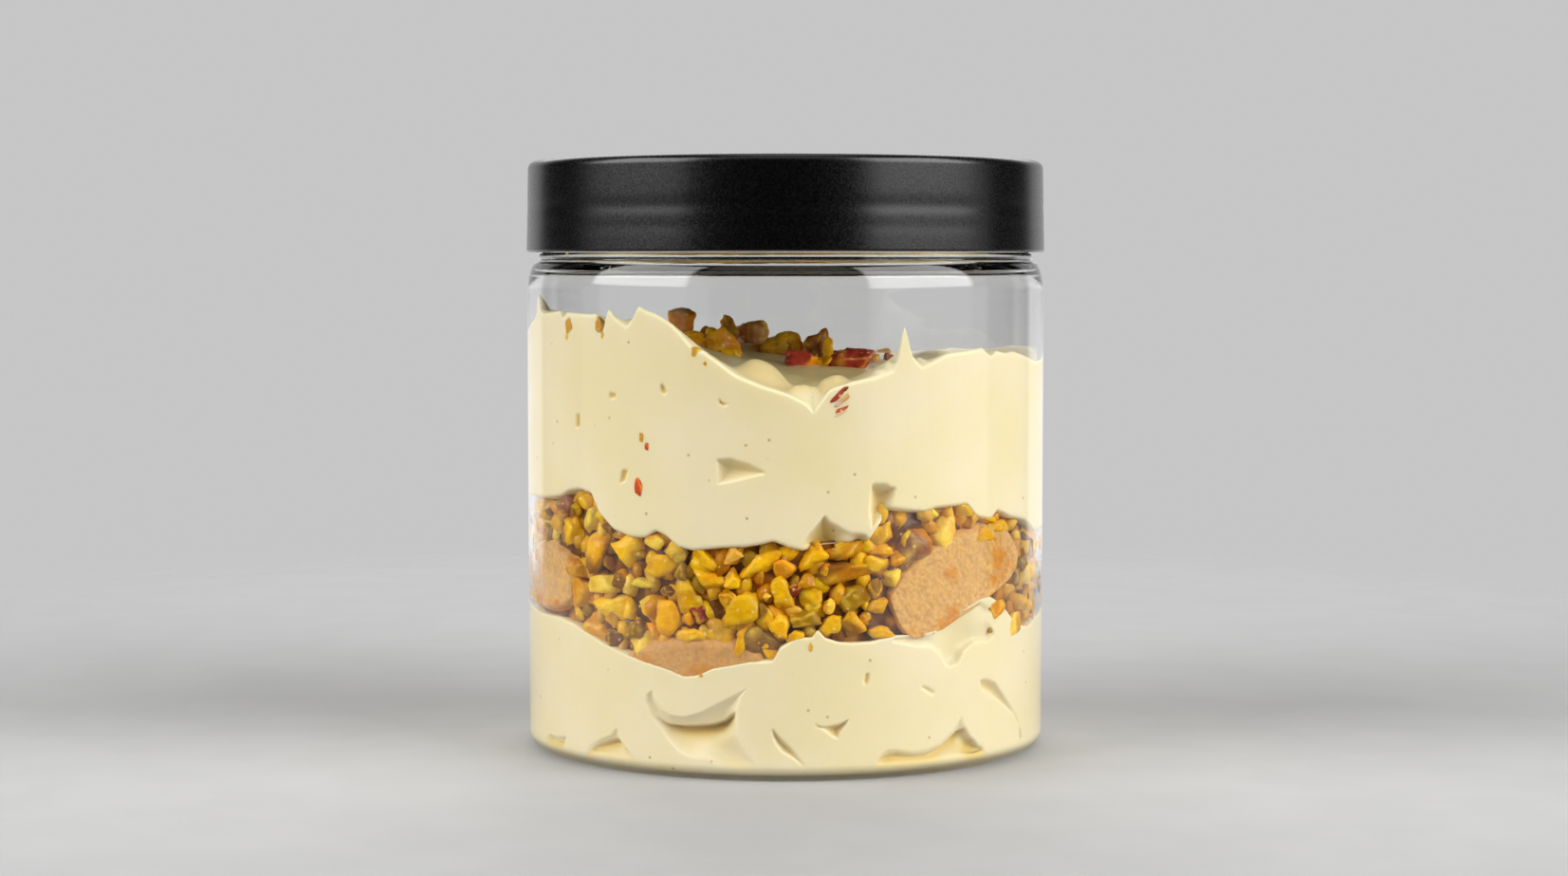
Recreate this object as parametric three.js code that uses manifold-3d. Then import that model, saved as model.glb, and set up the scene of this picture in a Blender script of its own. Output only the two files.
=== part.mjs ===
// A clear straight-sided jar of pistachio tiramisu under a black screw lid.
// Millimetres, +Z up. The origin is the centre of the jar's foot, and the shown side faces -Y.
// Bearings are degrees round the jar from that side, positive towards +X.
import * as THREE from "three";
import { mergeVertices } from "three/addons/utils/BufferGeometryUtils.js";
import Module from "manifold-3d";

const wasm = await Module();
wasm.setup();

// ---------------------------------------------------------------- driving dimensions

const GAP = 0.3; // air left between neighbouring pieces

const JAR = {
  radius: 46,
  wall: 1.0,
  footCorner: 2.6,
  standingWidth: 4.5,
  pushUp: 0.6,
  floor: 1.7,
  innerCorner: 2.2,
  shoulderStart: 84.0,
  shoulderRound: 1.9,
  beadRadius: 0.7,
  neckRadius: 43.3,
  neckBore: 42.2,
  neckTop: 101.8,
  sides: 40,
};

const LID = {
  height: 103.5,
  skirtEnd: 87.5,
  topRadius: 45.8,
  skirtRadius: 46.1,
  edgeRound: 1.4,
  boreTop: 44.95,
  boreEnd: 45.2,
  ceiling: 102.2,
  sides: 40,
};

const THREAD = {
  pitch: 4.2,
  turns: 1.1,
  steps: 27,
  rootWidth: 2.4,
  crestWidth: 0.9,
  startBearing: 150,
  startHeight: 92,
  standsOut: 1.05,
  sunkIn: 0.3,
  clearance: 0.5,
};

const FOOD = {
  radius: 44.55, // a hair inside the facets of the jar's bore
  bed: JAR.floor + GAP,
  sides: 56,
  frontCrowding: 0.45, // the shown side gets closer slices than the back
  seamRadii: [16, 28, 36, 41.5], // rings of the surfaces where two layers meet
  topRadii: [9, 18, 26, 33, 40], // rings of the cream's open top
};

// Heights of the layers where they meet the glass: [bearing, height].
const LOWER_CREAM_TOP = [
  [-85, 26], [-58, 25], [-47, 22.9], [-31, 19.2], [-20, 17.4], [-8, 20.1], [-2, 20.6], [2, 24.2],
  [12, 23.2], [27, 23.2], [37, 23.2], [50, 26.8], [58, 26.5], [66, 23.5], [76, 23.6], [95, 25],
  [120, 21], [145, 24], [170, 20], [195, 24.5], [222, 21], [250, 24.5],
];
const UPPER_CREAM_FOOT = [
  [-85, 44], [-66, 45], [-50, 47.3], [-45, 46], [-40, 41], [-34, 39.8], [-28, 41.2], [-20, 38.2],
  [-8, 39], [-2, 40], [4, 38.2], [12, 39.4], [20, 42.3], [27, 44.6], [42, 45.1], [50, 42.2],
  [57, 42.6], [66, 41], [80, 38.5], [105, 43], [130, 40], [150, 44.5], [175, 41], [200, 45], [225, 40],
  [250, 43],
];
const UPPER_CREAM_TOP = [
  [-85, 73.5], [-66, 77], [-47, 77], [-40.6, 77.8], [-35.4, 75.4], [-32.4, 78.3], [-25, 75.8],
  [-20, 71.8], [-14, 69.6], [-5.5, 65.7], [5.5, 61.6], [10, 65.2], [19, 67], [30, 68.8], [47, 71.2],
  [58, 70.4], [71, 68.6], [85, 66.8], [110, 69], [135, 70.5], [160, 67.5], [185, 69.5], [215, 72], [245, 70],
];

// Air pockets between folds of cream at the glass: a curved stroke of [bearing, height] points,
// its half width at each point in mm, and how far the cream stands back from the glass.
const LOWER_POCKETS = [
  { path: [[-28, 13], [-19, 7.5], [-9, 14]], halfWidth: [1.5, 4.2, 1.2], depth: 5 },
  { path: [[-21, 7], [-12, 3], [-5, 1.5]], halfWidth: [2.5, 4, 3], depth: 5 },
  { path: [[-48, 4], [-44, 3], [-37, 6.5]], halfWidth: [1.2, 2, 0.8], depth: 2.5 },
  { path: [[36, 11], [39, 6], [46, 1.5]], halfWidth: [0.8, 2.2, 3.2], depth: 4 },
  { path: [[16, 1.5], [26, 3], [38, 2]], halfWidth: [1.6, 2.6, 2.6], depth: 4 },
  { path: [[47, 15], [56, 10], [60, 3]], halfWidth: [1.4, 1.4, 0.8], depth: 2 },
  { path: [[96, 5], [108, 9], [118, 3]], halfWidth: [1.5, 3, 2.5], depth: 4 },
  { path: [[150, 12], [163, 5], [176, 10]], halfWidth: [1.2, 3.6, 1.2], depth: 4 },
  { path: [[208, 3], [222, 9], [234, 2.5]], halfWidth: [2, 3, 2.5], depth: 4 },
  { path: [[-104, 4], [-94, 10], [-84, 3.5]], halfWidth: [1.5, 2.6, 1.5], depth: 3 },
];
const UPPER_POCKETS = [
  { path: [[3, 38.6], [8, 42], [13, 39.6]], halfWidth: [1.2, 2.6, 1.8], depth: 3 },
  { path: [[20, 48.6], [20, 45.5], [18, 41.5]], halfWidth: [1.6, 2.6, 1.6], depth: 4 },
  { path: [[-13.5, 51.2], [-9, 51.2], [-5, 51.1]], halfWidth: [2.0, 1.7, 0.6], depth: 1.6 },
  { path: [[112, 50], [120, 46], [127, 43]], halfWidth: [1, 2.4, 2], depth: 3 },
  { path: [[188, 56], [194, 50], [197, 46]], halfWidth: [1, 2, 2.4], depth: 3 },
  { path: [[-118, 52], [-109, 48], [-103, 46]], halfWidth: [1, 2.2, 2], depth: 3 },
];

// The cream's top away from the glass: a level with soft rises and dips.
const TOP_LEVEL = 67.2;
const TOP_CLING = { from: 24, power: 1.6 }; // where the cream starts to climb the glass, and how suddenly
const TOP_MOUNDS = [
  { x: -33, y: -12, spread: 17, rise: 8 },
  { x: 8, y: -34, spread: 11, rise: -3.5 },
  { x: 24, y: 22, spread: 13, rise: 2.5 },
  { x: -14, y: 28, spread: 12, rise: 3 },
  { x: 2, y: 6, spread: 9, rise: 1 },
];

// A thin peak of cream drawn up the glass.
const SPIKE = { bearing: 26, lean: -1.6, foot: 65.5, tip: 75.6, radius: 1.5, taper: 0.8, sides: 6, rings: 5 };

// Sponge fingers lying round the jar: bearing and height of the middle, tilt in degrees, and half sizes.
const SPONGE = { halfDepth: 10, rings: 7, sides: 10, endPower: 0.65, boxiness: 0.85 };
const SPONGE_FINGERS = [
  { name: "ladyfinger_right", bearing: 45, height: 34.8, tilt: 25, halfLength: 17, halfHeight: 7.2 },
  { name: "ladyfinger_front", bearing: -17, height: 25.2, tilt: 3, halfLength: 15.5, halfHeight: 7.6 },
  { name: "ladyfinger_left", bearing: -69, height: 32, tilt: -4, halfLength: 13, halfHeight: 7.2 },
  { name: "ladyfinger_back_right", bearing: 108, height: 32.5, tilt: -14, halfLength: 18, halfHeight: 7.2 },
  { name: "ladyfinger_back", bearing: 169, height: 29, tilt: 8, halfLength: 18, halfHeight: 7.4 },
  { name: "ladyfinger_back_left", bearing: 232, height: 30.5, tilt: -6, halfLength: 19, halfHeight: 7.4 },
];

// The chopped nuts: the core they stand out of, how many show, and half sizes of the first and the last.
const NUT_LAYER = { coreRadius: 41.5, pieces: 90, largest: 3.9, smallest: 2.3, tries: 12, seed: 11 };
const NUT_SHAPE = [1, 0.8, 0.6]; // half sizes along a piece's three directions, as shares of its size

// Chopped nuts on the cream: place and half sizes.
const TOPPING = [
  { x: -18.9, y: 3, half: [3.0, 2.6, 2.8] },
  { x: -15.4, y: -3.4, half: [1.5, 1.4, 1.6] },
  { x: -11.3, y: -2, half: [3.6, 3.0, 4.0] },
  { x: -10.8, y: 9, half: [1.7, 1.6, 2.4] },
  { x: -4.4, y: 14, half: [3.4, 2.8, 3.0] },
  { x: -1.2, y: 4.4, half: [4.0, 2.1, 2.1] },
  { x: 3.4, y: -7.6, half: [3.4, 2.3, 2.1] },
  { x: 6.6, y: 1.4, half: [2.2, 2.1, 3.0] },
  { x: 11.8, y: -5.4, half: [4.4, 2.4, 2.1] },
  { x: 18.6, y: 6, half: [1.4, 1.3, 1.3] },
  { x: -24, y: 20, half: [3.0, 2.5, 2.3] },
  { x: 3, y: 27, half: [3.4, 2.7, 2.4] },
  { x: 17, y: 22, half: [2.7, 2.3, 2.2] },
  { x: 27, y: -8, half: [2.5, 2.1, 2.0] },
];
const TOPPING_SUNK = 0.3; // share of a nut's half height that lies in the cream
const TOPPING_SEED = 100;
const NUT_CORNER_LEAST = 0.5; // a chopped corner keeps at least this share of the nut's half size

// ---------------------------------------------------------------- shared helpers

const radians = THREE.MathUtils.degToRad;
const onJar = (bearing, radius, height) =>
  new THREE.Vector3(radius * Math.sin(radians(bearing)), -radius * Math.cos(radians(bearing)), height);

// Repeatable random numbers from 0 to 1.
function seededRandom(seed) {
  let state = seed;
  return () => {
    state = (state * 1103515245 + 12345) % 2147483648;
    return state / 2147483648;
  };
}

function solidFrom(geometry) {
  const bare = new THREE.BufferGeometry().setAttribute("position", geometry.getAttribute("position"));
  if (geometry.index) bare.setIndex(geometry.index);
  const merged = mergeVertices(bare, 1e-4);
  const corners = [];
  for (let i = 0; i < merged.index.count; i += 3) {
    const [a, b, c] = [0, 1, 2].map((k) => merged.index.getX(i + k));
    if (a !== b && b !== c && c !== a) corners.push(a, b, c);
  }
  const mesh = new wasm.Mesh({
    numProp: 3,
    vertProperties: new Float32Array(merged.attributes.position.array),
    triVerts: new Uint32Array(corners),
  });
  return new wasm.Manifold(mesh);
}

function geometryFrom(solid) {
  const { vertProperties, triVerts, numProp, numVert } = solid.getMesh();
  const places = new Float32Array(numVert * 3);
  for (let i = 0; i < numVert; i++) {
    places.set(vertProperties.subarray(i * numProp, i * numProp + 3), i * 3);
  }
  return new THREE.BufferGeometry()
    .setAttribute("position", new THREE.BufferAttribute(places, 3))
    .setIndex(new THREE.BufferAttribute(triVerts, 1));
}

function meshOf(name, solid, { color, roughness, opacity = 1 }) {
  const geometry = geometryFrom(solid).toNonIndexed();
  geometry.computeVertexNormals();
  const material = new THREE.MeshStandardMaterial({
    color, roughness, metalness: 0, opacity, transparent: opacity < 1,
  });
  const mesh = new THREE.Mesh(geometry, material);
  mesh.name = name;
  return mesh;
}

// Rings of points skinned into one closed solid, with a pole at each end.
// fallingSlash(i) picks which way the quads after ring i are split.
function skin({ rings, sides, at, first, last, fallingSlash = () => false }) {
  const points = [first];
  for (let i = 0; i < rings; i++) for (let j = 0; j < sides; j++) points.push(at(i, j));
  points.push(last);
  const index = [];
  const id = (i, j) => 1 + i * sides + (j % sides);
  for (let j = 0; j < sides; j++) {
    index.push(0, id(0, j + 1), id(0, j));
    index.push(points.length - 1, id(rings - 1, j), id(rings - 1, j + 1));
    for (let i = 0; i < rings - 1; i++) {
      const [a, b, c, d] = [id(i, j), id(i, j + 1), id(i + 1, j + 1), id(i + 1, j)];
      if (fallingSlash(i)) index.push(a, b, d, b, c, d);
      else index.push(a, b, c, a, c, d);
    }
  }
  const geometry = new THREE.BufferGeometry().setFromPoints(points);
  geometry.setIndex(index);
  return solidFrom(geometry);
}

function lathe(profile, sides) {
  const geometry = new THREE.LatheGeometry(profile.map(([r, z]) => new THREE.Vector2(r, z)), sides);
  return solidFrom(geometry.rotateX(Math.PI / 2));
}

// Points of a round corner, from one angle to another, both in degrees.
function corner(centreR, centreZ, radius, from, to, steps) {
  return Array.from({ length: steps + 1 }, (_, k) => {
    const angle = radians(from + ((to - from) * k) / steps);
    return [centreR + radius * Math.cos(angle), centreZ + radius * Math.sin(angle)];
  });
}

// Height at a bearing, eased between the outline's points and closed round the jar.
function heightOn(outline, bearing) {
  const turned = THREE.MathUtils.euclideanModulo(bearing - outline[0][0], 360) + outline[0][0];
  const next = outline.findIndex(([b]) => b > turned);
  const [b0, z0] = outline[next === -1 ? outline.length - 1 : next - 1];
  const [b1, z1] = next === -1 ? [outline[0][0] + 360, outline[0][1]] : outline[next];
  return THREE.MathUtils.lerp(z0, z1, THREE.MathUtils.smoothstep(turned, b0, b1));
}

const meanOf = (outline) => outline.reduce((sum, [, z]) => sum + z, 0) / outline.length;

// How far the cream stands back from the glass at a place.
function pocketDepth(pockets, bearing, height) {
  let depth = 0;
  const mmPerDegree = radians(FOOD.radius);
  for (const { path, halfWidth, depth: full } of pockets) {
    for (let t = 0; t <= 1; t += 0.1) {
      const bend = (k) => (1 - t) ** 2 * path[0][k] + 2 * t * (1 - t) * path[1][k] + t * t * path[2][k];
      const width = (1 - t) ** 2 * halfWidth[0] + 2 * t * (1 - t) * halfWidth[1] + t * t * halfWidth[2];
      const across = THREE.MathUtils.euclideanModulo(bearing - bend(0) + 180, 360) - 180;
      const away = Math.hypot(across * mmPerDegree, height - bend(1)) / width;
      if (away < 1) depth = Math.max(depth, full * Math.sqrt(1 - away * away));
    }
  }
  return depth;
}

// ---------------------------------------------------------------- jar and lid

// A thread ridge that winds up the jar's axis and thins out at both ends.
function thread({ root, tip, startHeight }) {
  const { pitch, turns, steps, rootWidth, crestWidth, startBearing } = THREAD;
  const pointsOut = tip > root;
  const ridge = (i) => {
    const share = i / (steps - 1);
    const full = Math.min(1, 0.08 + 6 * Math.min(share, 1 - share));
    const bearing = startBearing + 360 * turns * share;
    return { bearing, height: startHeight + pitch * turns * share, crest: root + (tip - root) * full, full };
  };
  const at = (i, j) => {
    const { bearing, height, crest, full } = ridge(i);
    const k = pointsOut ? 3 - j : j;
    const rise = [-rootWidth / 2, -crestWidth / 2, crestWidth / 2, rootWidth / 2][k] * full;
    return onJar(bearing, k === 0 || k === 3 ? root : crest, height + rise);
  };
  const middle = (i) => {
    const { bearing, height, crest } = ridge(i);
    return onJar(bearing, (root + crest) / 2, height);
  };
  return skin({ rings: steps, sides: 4, at, first: middle(0), last: middle(steps - 1) });
}

function makeJar() {
  const { radius, wall, footCorner, standingWidth, pushUp, floor, innerCorner } = JAR;
  const { shoulderStart, shoulderRound, beadRadius, neckRadius, neckBore, neckTop, sides } = JAR;
  const bore = radius - wall;
  const standing = radius - footCorner;
  const beadHeight = shoulderStart + shoulderRound + beadRadius;
  const profile = [
    [0, pushUp],
    [standing - standingWidth - 1.5, pushUp],
    [standing - standingWidth, 0],
    ...corner(standing, footCorner, footCorner, -90, 0, 3),
    ...corner(radius - shoulderRound, shoulderStart, shoulderRound, 0, 90, 3),
    [neckRadius, shoulderStart + shoulderRound],
    ...corner(neckRadius, beadHeight, beadRadius, -45, 45, 1),
    [neckRadius, beadHeight + beadRadius],
    [neckRadius, neckTop],
    [neckBore, neckTop],
    [neckBore, shoulderStart + 1.2],
    [bore, shoulderStart],
    ...corner(bore - innerCorner, floor + innerCorner, innerCorner, 0, -90, 2),
    [0, floor],
  ];
  const { sunkIn, standsOut, startHeight } = THREAD;
  const ridge = thread({ root: neckRadius - sunkIn, tip: neckRadius + standsOut, startHeight });
  return lathe(profile, sides).add(ridge);
}

function makeLid() {
  const { height, skirtEnd, topRadius, skirtRadius, edgeRound, boreTop, boreEnd, ceiling, sides } = LID;
  const profile = [
    [0, ceiling],
    [boreTop - 0.6, ceiling],
    [boreTop, ceiling - 0.6],
    [boreEnd, skirtEnd],
    [skirtRadius, skirtEnd],
    ...corner(topRadius - edgeRound, height - edgeRound, edgeRound, 0, 90, 3),
    [0, height],
  ];
  const { sunkIn, clearance, startHeight, pitch } = THREAD;
  const ridge = thread({
    root: boreTop + sunkIn, tip: JAR.neckRadius + clearance, startHeight: startHeight + pitch / 2,
  });
  return lathe(profile, sides).add(ridge);
}

// ---------------------------------------------------------------- cream and nut layers

const sliceBearing = (j) => {
  const even = (2 * Math.PI * j) / FOOD.sides;
  return THREE.MathUtils.radToDeg(even - FOOD.frontCrowding * Math.sin(even));
};

// A boundary between layers: level in the middle, following the outline at the glass.
function boundaryHeight(outline, bearing, radius) {
  const middle = meanOf(outline);
  return middle + (heightOn(outline, bearing) - middle) * (radius / FOOD.radius) ** 3;
}

function creamTopHeight(bearing, radius) {
  const { x, y } = onJar(bearing, radius, 0);
  let open = TOP_LEVEL;
  for (const mound of TOP_MOUNDS) {
    const away = (x - mound.x) ** 2 + (y - mound.y) ** 2;
    open += mound.rise * Math.exp(-away / (2 * mound.spread ** 2));
  }
  const cling = THREE.MathUtils.smoothstep(radius, TOP_CLING.from, FOOD.radius) ** TOP_CLING.power;
  return THREE.MathUtils.lerp(open, heightOn(UPPER_CREAM_TOP, bearing), cling);
}

// One layer of food. Its foot and its top are heights over (bearing, radius), and its side stands at the
// rim radius, less the depth of any pocket there.
function layer({ foot, top, rim, footRadii, topRadii, sideRings, pockets = [], footRound = 0 }) {
  const sideStart = footRadii.length;
  const topStart = sideStart + sideRings;
  const rings = topStart + topRadii.length;
  const at = (i, j) => {
    const bearing = sliceBearing(j);
    if (i < sideStart) return onJar(bearing, footRadii[i], foot(bearing, footRadii[i]));
    if (i >= topStart) {
      const radius = topRadii[rings - 1 - i];
      return onJar(bearing, radius, top(bearing, radius));
    }
    const low = foot(bearing, rim);
    const height = THREE.MathUtils.lerp(low, top(bearing, rim), (i - sideStart) / (sideRings - 1));
    const roundedOff = footRound * Math.max(0, 1 - (height - low) / (footRound || 1)) ** 2;
    return onJar(bearing, rim - roundedOff - pocketDepth(pockets, bearing, height), height);
  };
  return skin({
    rings, sides: FOOD.sides, at,
    first: new THREE.Vector3(0, 0, foot(0, 0)), last: new THREE.Vector3(0, 0, top(0, 0)),
    fallingSlash: (i) => i < sideStart,
  });
}

const lowerTop = (bearing, radius) => boundaryHeight(LOWER_CREAM_TOP, bearing, radius);
const upperFoot = (bearing, radius) => boundaryHeight(UPPER_CREAM_FOOT, bearing, radius);

// A sponge finger: a rounded bar wrapped round the jar's axis, larger all over by grow.
function spongeFinger({ bearing, height, tilt, halfLength, halfHeight }, grow = 0) {
  const { halfDepth, rings, sides, endPower, boxiness } = SPONGE;
  const [along, up, deep] = [halfLength + grow, halfHeight + grow, halfDepth + grow];
  const [cos, sin] = [Math.cos(radians(tilt)), Math.sin(radians(tilt))];
  const wrapped = (lengthways, upright, outward) => {
    const arc = lengthways * cos - upright * sin;
    const rise = lengthways * sin + upright * cos;
    const turned = bearing + THREE.MathUtils.radToDeg(arc / FOOD.radius);
    return onJar(turned, FOOD.radius - halfDepth + outward, height + rise);
  };
  const squared = (value) => Math.sign(value) * Math.abs(value) ** boxiness;
  const at = (i, j) => {
    const sweep = -Math.PI / 2 + (Math.PI * (i + 1)) / (rings + 1);
    const turn = (-2 * Math.PI * j) / sides;
    const girth = Math.cos(sweep) ** endPower;
    return wrapped(
      along * Math.sin(sweep), up * girth * squared(Math.sin(turn)), deep * girth * squared(Math.cos(turn)),
    );
  };
  return skin({ rings, sides, at, first: wrapped(-along, 0, 0), last: wrapped(along, 0, 0) });
}

// One chopped nut: a block with its corners knocked about, larger all over by grow.
function nutPiece(half, random, grow = 0) {
  const geometry = new THREE.BoxGeometry(2, 2, 2).deleteAttribute("normal").deleteAttribute("uv");
  const block = mergeVertices(geometry);
  const place = block.getAttribute("position");
  const knock = () => THREE.MathUtils.lerp(NUT_CORNER_LEAST, 1, random());
  for (let i = 0; i < place.count; i++) {
    place.setXYZ(i, ...half.map((length, k) => place.getComponent(i, k) * (length * knock() + grow)));
  }
  return block;
}

// The free heights at a bearing for the middle of a piece, clear of both creams on either side of it too.
function freeHeights(bearing, reach) {
  const aside = THREE.MathUtils.radToDeg(reach / FOOD.radius);
  const beside = [bearing - aside, bearing, bearing + aside];
  const low = Math.max(...beside.map((b) => lowerTop(b, FOOD.radius))) + reach + 2 * GAP;
  const high = Math.min(...beside.map((b) => upperFoot(b, FOOD.radius))) - reach - 2 * GAP;
  return [low, high];
}

// The place for a piece that lies farthest from the pieces before it, of several random tries,
// so that they spread evenly without rows.
function roomiestPlace(placed, reach, random) {
  const distance = (a, b) => {
    const across = THREE.MathUtils.euclideanModulo(a.bearing - b.bearing + 180, 360) - 180;
    return Math.hypot(radians(across) * FOOD.radius, a.height - b.height);
  };
  let best = null;
  for (let k = 0; k < NUT_LAYER.tries; k++) {
    const bearing = 360 * random();
    const [low, high] = freeHeights(bearing, reach);
    const spot = { bearing, height: THREE.MathUtils.lerp(low, high, random()) };
    const room = Math.min(...placed.map((other) => distance(spot, other)), Infinity);
    if (high > low && (!best || room > best.room)) best = { ...spot, room };
  }
  return best;
}

// Moves a piece out along its bearing until its outermost corner meets the glass.
function pushToGlass(block, bearing, height) {
  const away = FOOD.radius - block.boundingSphere.radius;
  const { x, y } = onJar(bearing, away, 0);
  block.translate(x, y, height);
  const place = block.getAttribute("position");
  const reaches = Array.from({ length: place.count }, (_, i) => Math.hypot(place.getX(i), place.getY(i)));
  const push = (FOOD.radius - Math.max(...reaches)) / away;
  return block.translate(x * push, y * push, 0);
}

// The chopped nuts that show, the largest first.
function spreadNuts() {
  const { pieces, largest, smallest, seed } = NUT_LAYER;
  const random = seededRandom(seed);
  const placed = [];
  const solids = [];
  for (let k = 0; k < pieces; k++) {
    const size = THREE.MathUtils.lerp(largest, smallest, k / pieces);
    const block = nutPiece(NUT_SHAPE.map((share) => share * size), random);
    block.rotateX(random() * Math.PI).rotateZ(random() * Math.PI);
    block.computeBoundingSphere();
    block.computeBoundingBox();
    const spot = roomiestPlace(placed, block.boundingBox.max.z, random);
    if (!spot) continue;
    placed.push(spot);
    solids.push(solidFrom(pushToGlass(block, spot.bearing, spot.height)));
  }
  return solids;
}

function makeNutLayer(sponges) {
  const foot = (bearing, radius) => lowerTop(bearing, radius) + GAP;
  const top = (bearing, radius) => upperFoot(bearing, radius) - GAP;
  const rim = NUT_LAYER.coreRadius;
  const inner = FOOD.seamRadii.filter((radius) => radius < rim);
  const core = layer({ foot, top, rim, footRadii: inner, topRadii: inner, sideRings: 2 });
  let heap = wasm.Manifold.union([core, ...spreadNuts()]);
  for (const sponge of sponges) heap = heap.subtract(sponge);
  return largestOf(heap);
}

// Cutting can leave loose scraps: only the main body is kept.
function largestOf(solid) {
  return solid.decompose().reduce((best, body) => (body.volume() > best.volume() ? body : best));
}

function makeLowerCream(sponges) {
  let cream = layer({
    foot: () => FOOD.bed, top: lowerTop, rim: FOOD.radius, footRadii: [30], topRadii: FOOD.seamRadii,
    sideRings: 8, pockets: LOWER_POCKETS, footRound: JAR.innerCorner,
  });
  for (const sponge of sponges) cream = cream.subtract(sponge);
  return largestOf(cream);
}

function makeSpike() {
  const { bearing, foot, tip, lean, radius, taper, sides, rings } = SPIKE;
  const axis = (share) =>
    onJar(bearing + lean * share, FOOD.radius - radius - GAP, THREE.MathUtils.lerp(foot, tip, share));
  const at = (i, j) => {
    const share = i / rings;
    const girth = radius * (1 - share) ** taper;
    const turn = (2 * Math.PI * j) / sides;
    return axis(share).add(new THREE.Vector3(girth * Math.cos(turn), girth * Math.sin(turn), 0));
  };
  return skin({ rings, sides, at, first: axis(0), last: axis(1) });
}

function makeUpperCream(sponges, toppings) {
  let cream = layer({
    foot: upperFoot, top: creamTopHeight, rim: FOOD.radius, footRadii: FOOD.seamRadii,
    topRadii: FOOD.topRadii, sideRings: 8, pockets: UPPER_POCKETS,
  }).add(makeSpike());
  for (const cut of [...sponges, ...toppings]) cream = cream.subtract(cut);
  return largestOf(cream);
}

// A chopped nut sunk a little into the cream's top, larger all over by grow.
function toppingNut({ x, y, half }, number, grow = 0) {
  const random = seededRandom(TOPPING_SEED + number);
  const bearing = THREE.MathUtils.radToDeg(Math.atan2(x, -y));
  const height = creamTopHeight(bearing, Math.hypot(x, y)) + half[2] * (1 - TOPPING_SUNK);
  const block = nutPiece(half, random, grow);
  block.rotateX(0.5 * (random() - 0.5)).rotateZ(random() - 0.5);
  return solidFrom(block.translate(x, y, height));
}

// ---------------------------------------------------------------- assembly

const CLEAR_PLASTIC = { color: 0xe6ebec, roughness: 0.05, opacity: 0.35 };
const BLACK_PLASTIC = { color: 0x17171a, roughness: 0.45 };
const CREAM = { color: 0xf0dfae, roughness: 0.5 };
const NUT = { color: 0xb98f2c, roughness: 0.5 };
const SPONGE_CAKE = { color: 0xd9a878, roughness: 0.9 };

const jarOfTiramisu = new THREE.Group();
jarOfTiramisu.name = "jar_of_tiramisu";

const roomForSponges = SPONGE_FINGERS.map((finger) => spongeFinger(finger, GAP));
const roomForToppings = TOPPING.map((nut, k) => toppingNut(nut, k, GAP));

jarOfTiramisu.add(meshOf("jar", makeJar(), CLEAR_PLASTIC));
jarOfTiramisu.add(meshOf("lid", makeLid(), BLACK_PLASTIC));
jarOfTiramisu.add(meshOf("cream_lower", makeLowerCream(roomForSponges), CREAM));
jarOfTiramisu.add(meshOf("nut_layer", makeNutLayer(roomForSponges), NUT));
jarOfTiramisu.add(meshOf("cream_upper", makeUpperCream(roomForSponges, roomForToppings), CREAM));
for (const finger of SPONGE_FINGERS) jarOfTiramisu.add(meshOf(finger.name, spongeFinger(finger), SPONGE_CAKE));
TOPPING.forEach((nut, k) => {
  jarOfTiramisu.add(meshOf(`topping_nut_${k + 1}`, toppingNut(nut, k), NUT));
});

export default jarOfTiramisu;
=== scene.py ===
# The looks of a clear jar of pistachio tiramisu under a black screw lid.
# Lengths are millimetres until a mesh is written in metres. Bearings are degrees round the jar from the
# shown side, positive towards +X. Photo points are pixels of the photograph, put on the glass.
import itertools
import math

import bmesh
import bpy
import numpy as np
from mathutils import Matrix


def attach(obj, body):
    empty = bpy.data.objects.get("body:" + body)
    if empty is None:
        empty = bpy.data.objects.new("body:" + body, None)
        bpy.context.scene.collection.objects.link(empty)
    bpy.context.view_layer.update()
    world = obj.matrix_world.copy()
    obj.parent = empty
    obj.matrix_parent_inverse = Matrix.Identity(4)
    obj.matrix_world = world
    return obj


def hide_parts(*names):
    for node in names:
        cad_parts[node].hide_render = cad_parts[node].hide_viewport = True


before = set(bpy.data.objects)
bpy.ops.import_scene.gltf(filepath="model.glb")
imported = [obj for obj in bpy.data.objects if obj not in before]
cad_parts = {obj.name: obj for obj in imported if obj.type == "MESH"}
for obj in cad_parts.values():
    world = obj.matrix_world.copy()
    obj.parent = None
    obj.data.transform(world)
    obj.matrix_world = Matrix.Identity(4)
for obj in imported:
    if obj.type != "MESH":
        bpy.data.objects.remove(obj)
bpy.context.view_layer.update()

metresPerMm = 0.001

# The photograph's camera.
view = {
    "photoWide": 1653,
    "photoHigh": 923,
    "lens": 65.33,
    "sensor": 36.0,
    "distance": 510.0,
    "aside": -0.255,
    "height": 85.9,
    "lookDown": 3.555,
    "nearest": 10.0,
}
focal = view["lens"] / view["sensor"] * view["photoWide"]  # in pixels


def placeCamera():
    # In front of the jar on the -Y side, level with its top part and turned down a little.
    data = bpy.data.cameras.new("viewer")
    data.lens = view["lens"]
    data.sensor_width = view["sensor"]
    data.clip_start = view["nearest"] * metresPerMm
    camera = bpy.data.objects.new("viewer", data)
    place = [view["aside"], -view["distance"], view["height"]]
    camera.location = [value * metresPerMm for value in place]
    camera.rotation_euler = (math.radians(90 - view["lookDown"]), 0, 0)
    bpy.context.scene.collection.objects.link(camera)
    bpy.context.scene.camera = camera


placeCamera()
bpy.context.scene.view_settings.view_transform = "Standard"
bpy.context.scene.view_settings.look = "None"
print("camera placed")

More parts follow.
